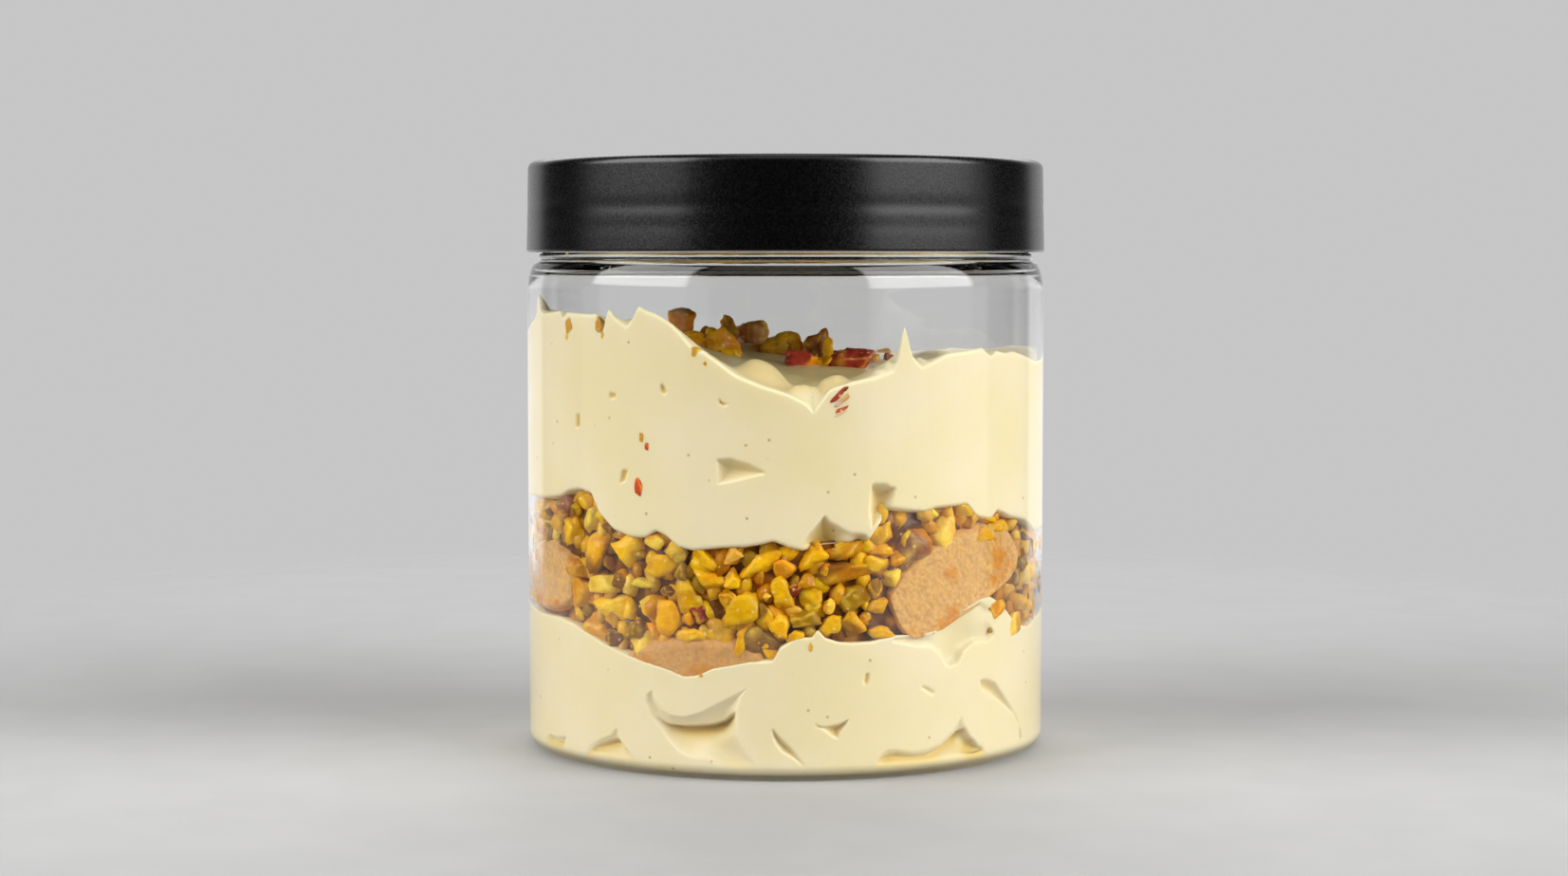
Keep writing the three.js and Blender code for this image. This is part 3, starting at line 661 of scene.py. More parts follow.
upperPockets = [
    {"outline": [(755, 484), (770, 483), (790, 489), (809, 499), (790, 503), (770, 508), (756, 510)],
     "depth": 1.7, "edge": 0.8},
    {"outline": [(833, 585), (846, 570), (858, 556), (869, 543), (876, 550), (888, 556), (902, 560),
                 (913, 563), (919, 571), (921, 590), (880, 592)], "depth": 3.6, "edge": 1.6,
     "bulges": [((850, 583), 1.4, 1.6), ((893, 572), 1.8, 1.8)]},
    {"outline": [(919, 510), (932, 511), (945, 514), (943, 526), (950, 538), (944, 549), (928, 548),
                 (920, 556), (918, 540)], "depth": 3.2, "edge": 1.2, "bulges": [((940, 536), 1.4, 1.8)]},
    dent((695, 404), (700, 406), (703, 413), (699, 417), (695, 411)),
    dent((757, 418), (761, 423), (768, 426), (762, 429), (757, 425)),
    dent((641, 413), (649, 414), (648, 420), (642, 420)),
    dent((607, 436), (611, 436), (611, 450), (607, 451)),
    dent((655, 494), (662, 495), (659, 507), (652, 510)),
    hollow([(112, 50), (120, 46), (127, 43)], [1, 2.4, 2], 3, 1.0),
    hollow([(188, 56), (194, 50), (197, 46)], [1, 2, 2.4], 3, 1.0),
    hollow([(-118, 52), (-109, 48), (-103, 46)], [1, 2.2, 2], 3, 1.0),
    hollow([(94, 60), (97, 59), (99, 58)], [0.3, 0.7, 0.3], 1.2, 0.5),
    hollow([(142, 61), (144, 60.4), (147, 60.8)], [0.3, 0.8, 0.4], 1.2, 0.5),
    hollow([(228, 60), (231, 59), (233, 60)], [0.3, 0.8, 0.4], 1.2, 0.5),
]


def heightOn(outline, bearing, softness=0.35):
    # Height at each bearing on straight lines between the outline's points, closed round the jar and
    # averaged over the softness in degrees.
    at = np.array([point[0] for point in outline], float)
    height = np.array([point[1] for point in outline], float)
    at = np.concatenate([at - 360, at, at + 360])
    height = np.tile(height, 3)
    offsets = np.array([-1, -0.5, 0, 0.5, 1]) * softness
    weights = np.array([1, 2, 3, 2, 1]) / 9
    turned = halfTurn(np.asarray(bearing, float))
    return sum(w * np.interp(turned + o, at, height) for w, o in zip(weights, offsets))


def insideDistance(pocket, bearing, height):
    # How far in mm each point lies inside a pocket's edge; negative outside. A path is a curve with the
    # weights (1-t)^2, 2t(1-t) and t^2. A point with an odd number of an outline's sides beyond it is inside.
    if "path" in pocket:
        t = np.linspace(0, 1, 41)[:, None, None]
        bend = [(1 - t) ** 2, 2 * t * (1 - t), t * t]
        rows = [*np.array(pocket["path"], float).T, pocket["halfWidth"]]
        across, rise, width = (sum(b * value for b, value in zip(bend, row)) for row in rows)
        away = halfTurn(bearing[None] - across) * mmPerDegree
        return (width - np.hypot(away, height[None] - rise)).max(axis=0)
    corners = onGlass(pocket["outline"]) * [mmPerDegree, 1]
    x, z = bearing * mmPerDegree, height
    nearest = np.full(x.shape, np.inf)
    inside = np.zeros(x.shape, bool)
    for (xA, zA), (xB, zB) in zip(corners, np.roll(corners, -1, axis=0)):
        wide, rise = xB - xA, zB - zA
        along = np.clip(((x - xA) * wide + (z - zA) * rise) / (wide**2 + rise**2), 0, 1)
        nearest = np.minimum(nearest, np.hypot(x - xA - along * wide, z - zA - along * rise))
        inside ^= ((zA > z) != (zB > z)) & (x < xA + (z - zA) * wide / (rise or 1e-9))
    return np.where(inside, nearest, -nearest)


pocketShape = {
    "ledgeLeast": 0.3,
    "ledgeSoft": 0.5,
    "swellStart": 0.4,
    "swellOver": 1.3,
    "footLeast": 0.02,
    "footFade": (2.1, 5.8),
    # heights over which the pockets' painted shade fades out towards the foot
    "footFoldShadeFade": (1.2, 3.4),
}


def pocketDepth(pockets, bearing, height):
    # How far the cream stands back, and how much painted shade darkens and yellows it. Each pocket's depth
    # grows from its edge as 1 - exp(-distance / edge). A ledge overhangs it: the cream is deepest just below
    # that line and swells out again under it. Bulges are bell-shaped. All of it fades towards the foot.
    shape = pocketShape
    turned = halfTurn(bearing)
    depth, foldShade = np.zeros(turned.shape), np.zeros(turned.shape)
    for pocket in pockets:
        at = turned if "outline" in pocket else bearing
        inside = insideDistance(pocket, at, height)
        part = pocket["depth"] * (1 - np.exp(-np.maximum(inside, 0) / pocket["edge"]))
        if "ledge" in pocket:
            line = onGlass(pocket["ledge"])
            below = np.interp(turned, line[:, 0], line[:, 1]) - height
            under = smoothStep(-shape["ledgeSoft"], shape["ledgeSoft"], below)
            swelling = np.exp(-np.maximum(below - shape["swellStart"], 0) / shape["swellOver"])
            part = part * (shape["ledgeLeast"] + (1 - shape["ledgeLeast"]) * under * swelling)
        for place, spread, rise in pocket.get("bulges", []):
            (middle, level), = onGlass([place])
            away = np.hypot((turned - middle) * mmPerDegree, height - level) / spread
            part = np.maximum(part - rise * np.exp(-away * away) * (inside > 0), 0)
        depth = np.maximum(depth, part)
        # painted shade: the deeper the pocket, the darker and yellower
        foldShade = np.maximum(foldShade, part * pocket.get("foldShade", 1.0))
    nearFoot = shape["footLeast"] + (1 - shape["footLeast"]) * smoothStep(*shape["footFade"], height)
    return depth * nearFoot, foldShade * smoothStep(*shape["footFoldShadeFade"], height)


topSurface = {
    "level": 67.2,
    "clingFrom": 24.0,
    "clingPower": 1.6,
    "broad": 5.0,
    "rimThick": 1.8,
    "lumpSize": 5.5,
    "lumpRise": 0.45,
    # x, y, spread, rise
    "mounds": [(-33, -12, 15, 8.2), (8, -34, 11, -2.6), (24, 22, 13, 2.5), (-14, 28, 12, 3), (2, 6, 9, 1),
               (-10, 12, 7, 2.2), (-19, 5, 5, 1.6)],
    # small dollops that show over the front edge, and a few more behind: x, y, spread, rise
    "dollops": [(-3.7, -33, 3.7, 3.0), (3, -40.3, 2.5, 1.9), (7.6, -37, 2.7, 1.9), (14, -30, 5, 1.2),
                (-17, -25, 3.4, 1.8), (-25, -9, 4, 1.4), (20, -14, 4, 1.2), (-6, 30, 5, 1.5),
                (28, 12, 4, 1.4), (9, 33, 4, 1.5), (-30, 15, 4.5, 1.3)],
}


def creamTopHeight(bearing, radius):
    # A level with bell-shaped mounds, easing up to the outline at the glass. Only the last part follows
    # the outline's peaks and notches, so that a thin peak stays thin.
    top = topSurface
    place = onJar(bearing, radius, 0)
    x, y = place[..., 0], place[..., 1]
    level = top["level"] + 0 * x
    for moundX, moundY, spread, rise in top["mounds"]:
        level = level + rise * np.exp(-((x - moundX) ** 2 + (y - moundY) ** 2) / (2 * spread**2))
    lumps = softNoise(place, top["lumpSize"], 5) + 0.5 * softNoise(place, top["lumpSize"] / 2.3, 6)
    level = level + top["lumpRise"] * lumps
    cling = smoothStep(top["clingFrom"], bore, radius) ** top["clingPower"]
    broad, sharp = heightOn(upperCreamTop, bearing, top["broad"]), heightOn(upperCreamTop, bearing)
    rim = smoothStep(bore - top["rimThick"], bore - 0.2, radius)
    level = level + (broad - level) * cling
    for dollopX, dollopY, spread, rise in top["dollops"]:
        away = np.hypot(x - dollopX, y - dollopY) / spread
        level = level + rise * np.exp(-(away**3)) * (1 - rim)
    return level + (sharp - broad) * rim


def boundaryHeight(outline, bearing, radius):
    # A boundary between layers: level in the middle, following the outline at the glass.
    middle = sum(point[1] for point in outline) / len(outline)
    return middle + (heightOn(outline, bearing) - middle) * (radius / bore) ** 3


def creamSkin(foot, top, pockets, footRadii, sideRows, topRadii, footCurl, topCurl,
              footRound=0.0, filmWide=0.0):
    # One layer of cream: its foot and top are heights over (bearing, radius). Its side stands at the
    # glass, less any pocket's depth, and curls in over the last part of a millimetre at both edges.
    # An open top leaves a film at the glass, and lies in shade, which is painted on it as in a fold. The
    # pockets' painted shade goes with the side's points.
    even = 2 * np.pi * np.arange(creamGrid["columns"]) / creamGrid["columns"]
    bearing = np.degrees(even - creamGrid["crowding"] * np.sin(even))[None, :]
    footRows = [onJar(bearing, radius, foot(bearing, radius))[0] for radius in footRadii]
    topRows = [onJar(bearing, radius, top(bearing, radius))[0] for radius in topRadii]
    low, high = foot(bearing, bore), top(bearing, bore)
    height = low + (high - low) * np.linspace(0, 1, sideRows)[:, None]
    around = bearing + 0 * height
    depth, foldShade = pocketDepth(pockets, around, height)
    fromFoot, fromTop = height - low, high - height
    curl = footCurl[1] * np.maximum(0, 1 - fromFoot / footCurl[0]) ** 2
    curl = curl + topCurl[1] * np.maximum(0, 1 - fromTop / topCurl[0]) ** 2
    if footRound:
        rise = np.clip(1 - fromFoot / footRound, 0, 1)
        curl = curl + footRound * (1 - np.sqrt(1 - rise**2))
    sideRings = onJar(around, foodRadius - depth - curl, height)
    rings = np.concatenate([np.array(footRows), sideRings, np.array(topRows)])
    ends = [np.array([0, 0, float(np.mean(surface(bearing, 0.0)))]) for surface in (foot, top)]
    points, faces = skinRings(rings, *ends)
    paintedFoldShade, film = np.zeros((2, *rings.shape[:2]))
    side = slice(len(footRows), len(footRows) + sideRows)
    # painted shade of the pockets on the side, and of the open top below
    paintedFoldShade[side] = foldShade
    if filmWide:
        film[side] = np.exp(-((fromTop / filmWide) ** 2))
        # the open top's inside is painted with the folds' shade
        shade = smoothStep(bore - 1.0, bore - 4.0, np.array(topRadii))
        paintedFoldShade[side.stop:] = creamLooks["openTopFoldShade"] * shade[:, None]
    marks = {title: np.concatenate([[0], values.ravel(), [0]])
             for title, values in (("pocket", paintedFoldShade), ("film", film))}
    return points, faces, marks


creamLooks = {
    "pale": linear(242, 228, 190),
    "warm": linear(240, 224, 176),
    "mottleScale": 55.0,
    # painted shade in folds and on the shaded open top: a darker, yellower cream
    "foldShadeColour": linear(226, 194, 104),
    "foldShadeRange": (0.2, 3.2),
    "openTopFoldShade": 1.7,
    "film": linear(244, 230, 188),
    "speck": linear(168, 132, 80),
    "specks": {"scale": 300.0, "radius": 0.11, "share": 0.45},
    # the lower layer is painted a little darker, as shade against the floor's bounce light: heights in metres
    # between which it changes
    "lowerLayerShade": 0.92,
    "lowerShadeHeights": (0.012, 0.045),
    "shader": {
        "Roughness": 0.36,
        "Subsurface Weight": 0.35,
        "Subsurface Radius": (1.0, 0.75, 0.45),
        "Subsurface Scale": 2.2 * metresPerMm,
        "Specular IOR Level": 0.18,
        "Coat Weight": 0.06,
        "Coat Roughness": 0.12,
    },
    "grain": {"scale": 420.0, "detail": 4.0, "strength": 0.3, "depthMm": 0.2},
}


def makeCream():
    # Moist cream: two pale tones clouded together, painted darker and yellower as shade in folds and on the
    # open top, with a pale film and a few specks.
    material, tree, shader = newMaterial("cream")
    base = mottled(tree, creamLooks["pale"], creamLooks["warm"], creamLooks["mottleScale"])
    # painted shade from the pocket mark: darker and yellower cream
    deep = ranged(tree, meshMark(tree, "pocket"), *creamLooks["foldShadeRange"])
    colour = mixColours(tree, deep, base, creamLooks["foldShadeColour"])
    colour = mixColours(tree, meshMark(tree, "film"), colour, creamLooks["film"])
    colour = mixColours(tree, speckled(tree, **creamLooks["specks"]), colour, creamLooks["speck"])
    # painted shade: the lower layer darker, to offset the floor's bounce light
    tone = ranged(tree, objectAxis(tree, "Z"), *creamLooks["lowerShadeHeights"], creamLooks["lowerLayerShade"])
    grey = addNode(tree, "ShaderNodeCombineXYZ", dict.fromkeys("XYZ", tone)).outputs["Vector"]
    setInputs(shader, {"Base Color": mixColours(tree, 1.0, colour, grey, "MULTIPLY"), **creamLooks["shader"]})
    addGrain(tree, shader, **creamLooks["grain"])
    return material


cream = makeCream()


def makeLowerCream():
    # From the jar's floor, which is flat, to the boundary under the nuts.
    bed = glass["floor"] - 0.15
    points, faces, marks = creamSkin(
        foot=lambda bearing, radius: bed + 0 * (bearing + radius),
        top=lambda bearing, radius: boundaryHeight(lowerCreamTop, bearing, radius),
        pockets=lowerPockets, footRadii=[14, 28, 38, 42.4], sideRows=creamGrid["lowerRows"],
        topRadii=[43.6, 41.5, 38, 33, 26, 16], footCurl=(0.3, 0.1), topCurl=(0.25, 0.3), footRound=1.3,
    )
    piece = putMesh("lower_cream", points, faces, cream, marks=marks)
    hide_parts("cream_lower")


def makeUpperCream():
    # From the boundary over the nuts to the open top, whose rings lie closest at the rim.
    widest = bore - 0.5
    points, faces, marks = creamSkin(
        foot=lambda bearing, radius: boundaryHeight(upperCreamFoot, bearing, radius),
        top=creamTopHeight, pockets=upperPockets, footRadii=[16, 28, 36, 41.5, 43.8],
        sideRows=creamGrid["upperRows"], topRadii=widest - widest * np.linspace(0, 1, 47)[1:-1] ** 1.15,
        footCurl=(0.5, 0.6), topCurl=(0.5, 0.35), filmWide=0.6,
    )
    piece = putMesh("upper_cream", points, faces, cream, marks=marks)
    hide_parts("cream_upper")


makeLowerCream()
makeUpperCream()
print("cream made")

sponge = {
    "halfDepth": 10.0,
    "rings": 150,
    "sides": 130,
    "endPower": 0.5,
    "boxiness": 0.5,
    "swell": 1.12,
    "stretch": 1.06,
    "poreDepth": 0.14,
    "poreDarkening": 0.35,
    "behindNuts": 3.4,
    "inFromWall": 0.45,
    "pressedOut": 0.9,
    "faceBack": 0.235,
    "halfShown": 3.2,
    "ragged": 2.5,
}
# Each sponge finger: its middle, tilt and half sizes, and where it shows in the photo.
fingers = {
    "ladyfinger_right": {
        "bearing": 45, "height": 34.8, "tilt": 25, "halfLength": 17, "halfHeight": 7.2,
        "shows": [(905, 684), (916, 662), (930, 646), (938, 625), (950, 606), (966, 590), (985, 576),
                  (1010, 566), (1045, 556), (1066, 560), (1076, 580), (1074, 600), (1066, 614), (1052, 626),
                  (1034, 640), (1016, 652), (998, 666), (975, 676), (940, 684)],
    },
    "ladyfinger_front": {
        # the front finger is painted darker all over, as shade
        "bearing": -17, "height": 25.2, "tilt": 3, "halfLength": 15.5, "halfHeight": 7.6, "fingerShade": 0.5,
        "shows": [(650, 690), (668, 682), (700, 678), (740, 680), (770, 682), (800, 690), (806, 704),
                  (770, 722), (700, 724), (662, 706)],
    },
    "ladyfinger_left": {
        "bearing": -69, "height": 32, "tilt": -4, "halfLength": 13, "halfHeight": 7.2,
        "shows": [(556, 576), (572, 572), (590, 580), (604, 590), (610, 604), (602, 618), (604, 632),
                  (590, 642), (572, 640), (556, 636)],
    },
    "ladyfinger_back_right": {
        "bearing": 108, "height": 32.5, "tilt": -14, "halfLength": 18, "halfHeight": 7.2,
    },
    "ladyfinger_back": {"bearing": 169, "height": 29, "tilt": 8, "halfLength": 18, "halfHeight": 7.4},
    "ladyfinger_back_left": {"bearing": 232, "height": 30.5, "tilt": -6, "halfLength": 19, "halfHeight": 7.4},
}

nutTones = {
    "yellow": (246, 190, 10),
    "golden": (234, 174, 14),
    "deep": (208, 136, 4),
    "olive": (160, 116, 14),
    "pale": (244, 204, 74),
    "tan": (214, 158, 58),
    "orange": (228, 154, 30),
    "brown": (126, 78, 30),
    "umber": (150, 106, 54),
    "purple": (150, 98, 70),
    "red": (136, 46, 32),
    "scarlet": (214, 74, 14),
    "blush": (244, 200, 176),
    "rose": (184, 70, 62),
}


def ballDirections(level):
    # Unit directions and faces of a ball of triangles.
    ball = bmesh.new()
    bmesh.ops.create_icosphere(ball, subdivisions=level, radius=1.0)
    directions = np.array([corner.co[:] for corner in ball.verts])
    faces = np.array([[corner.index for corner in face.verts] for face in ball.faces])
    ball.free()
    return unit(directions), faces


def turns(angles):
    # Rotation matrices about x, then y, then z, for rows of three angles.
    x, y, z = angles[:, 0], angles[:, 1], angles[:, 2]
    none, whole = np.zeros_like(x), np.ones_like(x)
    aboutX = np.array([[whole, none, none], [none, np.cos(x), -np.sin(x)], [none, np.sin(x), np.cos(x)]])
    aboutY = np.array([[np.cos(y), none, np.sin(y)], [none, whole, none], [-np.sin(y), none, np.cos(y)]])
    aboutZ = np.array([[np.cos(z), -np.sin(z), none], [np.sin(z), np.cos(z), none], [none, none, whole]])
    return np.einsum("ijn,jkn,kln->nil", aboutZ, aboutY, aboutX)


def unit(vectors):
    # Every vector at length 1.
    return vectors / np.linalg.norm(vectors, axis=-1, keepdims=True)


chopped = {
    "crooked": 0.3,
    "nearestCut": 0.5,
    "farthestCut": 0.95,
    "ball": 0.8,
}


def choppedShapes(count, level, seed, cuts=5, sharpness=26.0):
    # A chopped nut is a crooked block with random cuts. Along each direction its reach is a soft minimum
    # over its planes: (a little + sum of (lean / plane distance) ^ sharpness) ^ (-1 / sharpness).
    draw = np.random.default_rng(seed)
    directions, faces = ballDirections(level)
    block = np.concatenate([np.eye(3), -np.eye(3)])[None]
    block = block + draw.normal(size=(count, 6, 3)) * chopped["crooked"]
    block = np.einsum("nij,npj->npi", turns(draw.uniform(-np.pi, np.pi, (count, 3))), block)
    normals = unit(np.concatenate([block, draw.normal(size=(count, cuts, 3))], axis=1))
    distances = draw.uniform(chopped["nearestCut"], chopped["farthestCut"], (count, 6 + cuts))
    lean = np.maximum(np.einsum("vk,npk->nvp", directions, normals), 0) / distances[:, None, :]
    reach = (chopped["ball"] ** sharpness + (lean**sharpness).sum(axis=-1)) ** (-1 / sharpness)
    # an edge is where the two closest planes are about as close
    second, closest = np.moveaxis(np.sort(lean, axis=-1)[..., -2:], -1, 0)
    edge = smoothStep(0.82, 1.0, second / np.maximum(closest, 1)) * (closest > 0.9)
    skin = np.einsum("vk,nk->nv", directions, unit(draw.normal(size=(count, 3))))
    shapes = directions[None] * reach[..., None]
    return shapes / np.abs(shapes).max(axis=1, keepdims=True), faces, edge, skin


def chipMesh(shapes, halves, rotations, centres, rough, seed=3):
    # Each shape stretched to its half sizes, turned, moved to its place, and roughened by noise.
    local = shapes * halves[:, None, :]
    world = np.einsum("nij,nvj->nvi", rotations, local) + centres[:, None, :]
    outward = world - centres[:, None, :]
    outward /= np.maximum(np.linalg.norm(outward, axis=-1, keepdims=True), 1e-6)
    bumps = softNoise(world, 2.4, seed) + 0.6 * softNoise(world, 1.1, seed + 1)
    bumps = bumps + 0.35 * softNoise(world, 0.6, seed + 2)
    rough = rough * np.minimum(1, np.prod(halves, axis=1) ** (1 / 3) / 2.2)[:, None]
    return world + outward * (bumps * rough)[..., None]


def pressToGlass(points, limit=foodRadius - 0.01):
    # What would pass the glass is flattened against it. The limit is one number or one for each piece.
    reach = axisDistance(points)
    limit = np.asarray(limit, float).reshape((-1,) + (1,) * (reach.ndim - 1))
    points[..., :2] *= np.minimum(1, limit / np.maximum(reach, 1e-6))[..., None]
    return points


nutLooks = {
    # pale cut edges: partly the cut's own colour, partly a painted highlight
    "cutEdgeAndHighlight": (252, 214, 70),
    "cutEdgeAndHighlightShare": 0.5,
    "skinCover": 0.85,
    "skinFrom": (0.25, 0.55),
    "cloud": (0.82, 0.68, 0.4, 1),
    "cloudScale": 420.0,
    "cloudRange": (0.42, 0.72),
    "crumb": linear(250, 224, 150),
    "crumbs": {"scale": 900.0, "radius": 0.3, "share": 0.2},
    "shader": {
        "Roughness": 0.3,
        "Subsurface Weight": 0.18,
        "Subsurface Radius": (1.0, 0.75, 0.2),
        "Subsurface Scale": 1.0 * metresPerMm,
        "Coat Weight": 0.3,
        "Coat Roughness": 0.1,
        "Specular IOR Level": 0.06,
    },
    "grain": {"scale": 900.0, "detail": 5.0, "strength": 0.8, "depthMm": 0.4},
}


def toneColours(names):
    # The linear colour of each named tone.
    return np.array([linear(*nutTones[name])[:3] for name in names])


def chipTones(names, skinned, edge, skin, seed):
    # Colour of each point: the chip's own tone with a little variation, paler along cut edges (partly the
    # cut's own colour, partly a painted highlight), and brown or red on its skin side.
    draw = np.random.default_rng(seed)
    base = toneColours(names)
    base = base * draw.uniform(0.86, 1.12, (len(names), 1)) * draw.uniform(0.95, 1.05, (len(names), 3))
    colour = np.repeat(base[:, None, :], edge.shape[1], axis=1)
    colour += (np.array(linear(*nutLooks["cutEdgeAndHighlight"])[:3]) - colour) * (nutLooks["cutEdgeAndHighlightShare"] * edge)[..., None]
    skinTone = toneColours(skinned["tones"])
    pick = skinTone[draw.integers(0, len(skinTone), len(names))]
    has = (draw.random(len(names)) < skinned["share"]).astype(float)
    amount = smoothStep(*nutLooks["skinFrom"], skin) * has[:, None] * nutLooks["skinCover"]
    return colour + (pick[:, None, :] - colour) * amount[..., None]


def makeNutMaterial():
    # Moist chopped pistachio: the tone comes with the mesh, with darker mottling and pale crumbs.
    material, tree, shader = newMaterial("chopped nuts")
    cloud = mottled(tree, (1, 1, 1, 1), nutLooks["cloud"], nutLooks["cloudScale"], *nutLooks["cloudRange"])
    colour = mixColours(tree, 1.0, meshMark(tree, "tone", "Color"), cloud, "MULTIPLY")
    colour = mixColours(tree, speckled(tree, **nutLooks["crumbs"]), colour, nutLooks["crumb"])
    setInputs(shader, {"Base Color": colour, **nutLooks["shader"]})
    addGrain(tree, shader, **nutLooks["grain"])
    return material


nutMaterial = makeNutMaterial()

# Pieces that show at the glass in the photo: centre, width, height in pixels, tilt in degrees, tone.
frontNuts = [
    (591, 533, 24, 21, 10, "purple"), (614, 528, 16, 17, 0, "golden"), (621, 545, 22, 22, 20, "pale"),
    (586, 552, 17, 21, 0, "tan"), (598, 561, 20, 24, -20, "yellow"), (622, 582, 33, 42, 15, "golden"),
    (659, 582, 35, 42, -20, "yellow"), (689, 570, 21, 16, 0, "pale"), (708, 580, 26, 26, 30, "pale"),
    (691, 601, 40, 31, 25, "golden"), (629, 615, 37, 22, 10, "pale"), (608, 624, 21, 28, 0, "orange"),
    (673, 615, 26, 12, 0, "pale"), (643, 640, 38, 46, 20, "yellow"), (680, 640, 28, 35, -10, "golden"),
    (704, 650, 31, 33, 20, "golden"), (622, 661, 31, 30, -20, "orange"), (640, 671, 20, 20, 0, "brown"),
    (664, 664, 21, 21, 0, "olive"), (673, 680, 26, 30, 35, "pale"), (720, 626, 30, 38, 15, "golden"),
    (736, 649, 21, 22, 10, "red"), (725, 652, 10, 14, 0, "orange"), (729, 671, 38, 21, 10, "golden"),
    (739, 589, 31, 21, -10, "golden"), (769, 589, 30, 24, 10, "tan"), (746, 614, 42, 28, -15, "golden"),
    (801, 596, 58, 26, 45, "yellow"), (827, 599, 24, 21, 0, "orange"), (825, 629, 23, 38, 5, "yellow"),
    (783, 640, 50, 30, 20, "golden"), (806, 648, 15, 30, 0, "golden"), (808, 629, 10, 10, 0, "pale"),
    (823, 659, 26, 23, 0, "golden"), (857, 589, 34, 22, 35, "yellow"), (851, 615, 21, 21, 0, "deep"),
    (858, 634, 30, 24, 0, "yellow"), (875, 639, 12, 16, 0, "pale"), (893, 582, 42, 13, 15, "deep"),
    (897, 603, 70, 22, 5, "deep"), (900, 633, 38, 30, 0, "olive"), (937, 561, 34, 24, 40, "golden"),
    (932, 580, 22, 14, 0, "golden"), (926, 594, 30, 20, 0, "yellow"), (944, 610, 23, 23, 0, "pale"),
    (926, 620, 17, 21, 0, "yellow"), (928, 640, 23, 16, 0, "golden"), (898, 661, 30, 30, 20, "golden"),
    (876, 664, 24, 26, 0, "golden"), (850, 655, 31, 26, 0, "olive"), (932, 668, 28, 14, 0, "golden"),
    (965, 575, 40, 50, 10, "purple"), (980, 541, 20, 22, 0, "tan"),
    (986, 542, 10, 11, 0, "pale"), (1005, 562, 38, 42, 10, "pale"), (1021, 538, 18, 21, 0, "golden"),
    (1028, 549, 14, 16, 0, "tan"), (1045, 544, 21, 18, 0, "yellow"), (1054, 556, 18, 14, 0, "golden"),
    (1038, 566, 24, 17, 0, "golden"), (1075, 577, 14, 22, 0, "tan"), (1078, 603, 14, 26, 0, "brown"),
    (1085, 625, 12, 20, 0, "tan"), (760, 668, 31, 26, 0, "tan"),
    (800, 676, 44, 30, -35, "umber"), (781, 680, 14, 36, -25, "golden"), (650, 610, 20, 22, 0, "deep"),
    (715, 605, 16, 22, 0, "olive"), (770, 612, 18, 18, 0, "yellow"), (765, 632, 18, 20, 0, "deep"),
    (870, 602, 14, 16, 0, "deep"), (640, 556, 18, 12, 0, "brown"), (605, 600, 18, 18, 0, "tan"),
    (948, 592, 16, 14, 0, "deep"), (838, 622, 15, 15, 20, "red"), (915, 652, 14, 14, 0, "deep"),
    (700, 625, 14, 14, 0, "brown"), (838, 672, 18, 12, 0, "golden"), (602, 538, 12, 14, 0, "golden"),
    (630, 531, 10, 10, 0, "yellow"), (573, 541, 12, 18, 0, "tan"), (1088, 640, 8, 22, 0, "tan"),
]

frontLooks = {
    "grow": 1.16,
    "depth": 0.9,
    "steepest": 62,
    "standsBack": 0.78,
    "rough": 0.38,
    "sharpness": 40.0,
    "overlap": 0.2,
    "skins": {"tones": ["brown", "deep", "deep"], "share": 0.3},
}
nutLayer = {
    "core": 43.3,
    "coreRows": 34,
    "coreOverlap": 0.6,
    "innerRings": [30.0, 16.0],
    # painted shade: the dark tone of the gaps between the chips
    "coreShade": (112, 66, 18),
    "coreCrumb": (214, 150, 40),
    "lumpSize": 3.0,
    "lumpRise": 0.6,
    "swell": 0.5,
    # bearings between which the core swells: it starts, is full, is full, ends
    "swellBearings": (68, 78, 94, 104),
    "shownHalf": 66,
    # bearings and height of the cream's corner below the right-hand sponge finger
    "creamCorner": (18, 60, 33),
    "tries": 14,
    "proportions": (1, 0.8, 0.64),
    "standsBack": 0.62,
    "rough": 0.2,
    "tones": {"yellow": 0.24, "golden": 0.26, "deep": 0.12, "olive": 0.08, "pale": 0.12, "tan": 0.08,
              "orange": 0.06, "brown": 0.04},
    "skins": {"tones": ["brown", "red", "purple"], "share": 0.2},
}
# The rest of the heap: pieces, room kept at its edges, distance from the axis, and smallest and largest.
heaps = {
    "nut_chips_behind": {
        "pieces": 400, "room": 0.2, "radius": 44.5, "sizes": (1.9, 3.2), "seeds": (41, 51),
    },
    "nut_chips_round": {
        "pieces": 430, "room": 1.4, "radius": foodRadius, "sizes": (1.8, 3.7), "seeds": (43, 61),
    },
}


def layerRange(bearing):
    # Lowest and highest free height of the nut layer at a bearing.
    return heightOn(lowerCreamTop, bearing), heightOn(upperCreamFoot, bearing)


def joinChips(name, points, faces, tones):
    # All the chips of one kind as one mesh.
    count, corners = points.shape[:2]
    allFaces = (faces[None] + (np.arange(count) * corners)[:, None, None]).reshape(-1, 3)
    piece = putMesh(name, points.reshape(-1, 3), allFaces, nutMaterial, marks={"tone": tones.reshape(-1, 3)})


def fromPhoto(rows):
    # Rows of (x, y, width, height, tilt, tone) as places on the glass, half widths and half heights in mm,
    # turns that lay each piece flat to the glass, and tones.
    places = onGlass([row[:2] for row in rows])
    pixelsPerMm = focal / (view["distance"] - glass["radius"])
    wide, high = (np.array([row[column] for row in rows]) / pixelsPerMm / 2 for column in (2, 3))
    tilt = np.radians([row[4] for row in rows])
    angles = np.stack([0 * tilt, -tilt, np.radians(places[:, 0])], -1)
    return places, wide, high, turns(angles), [row[5] for row in rows]


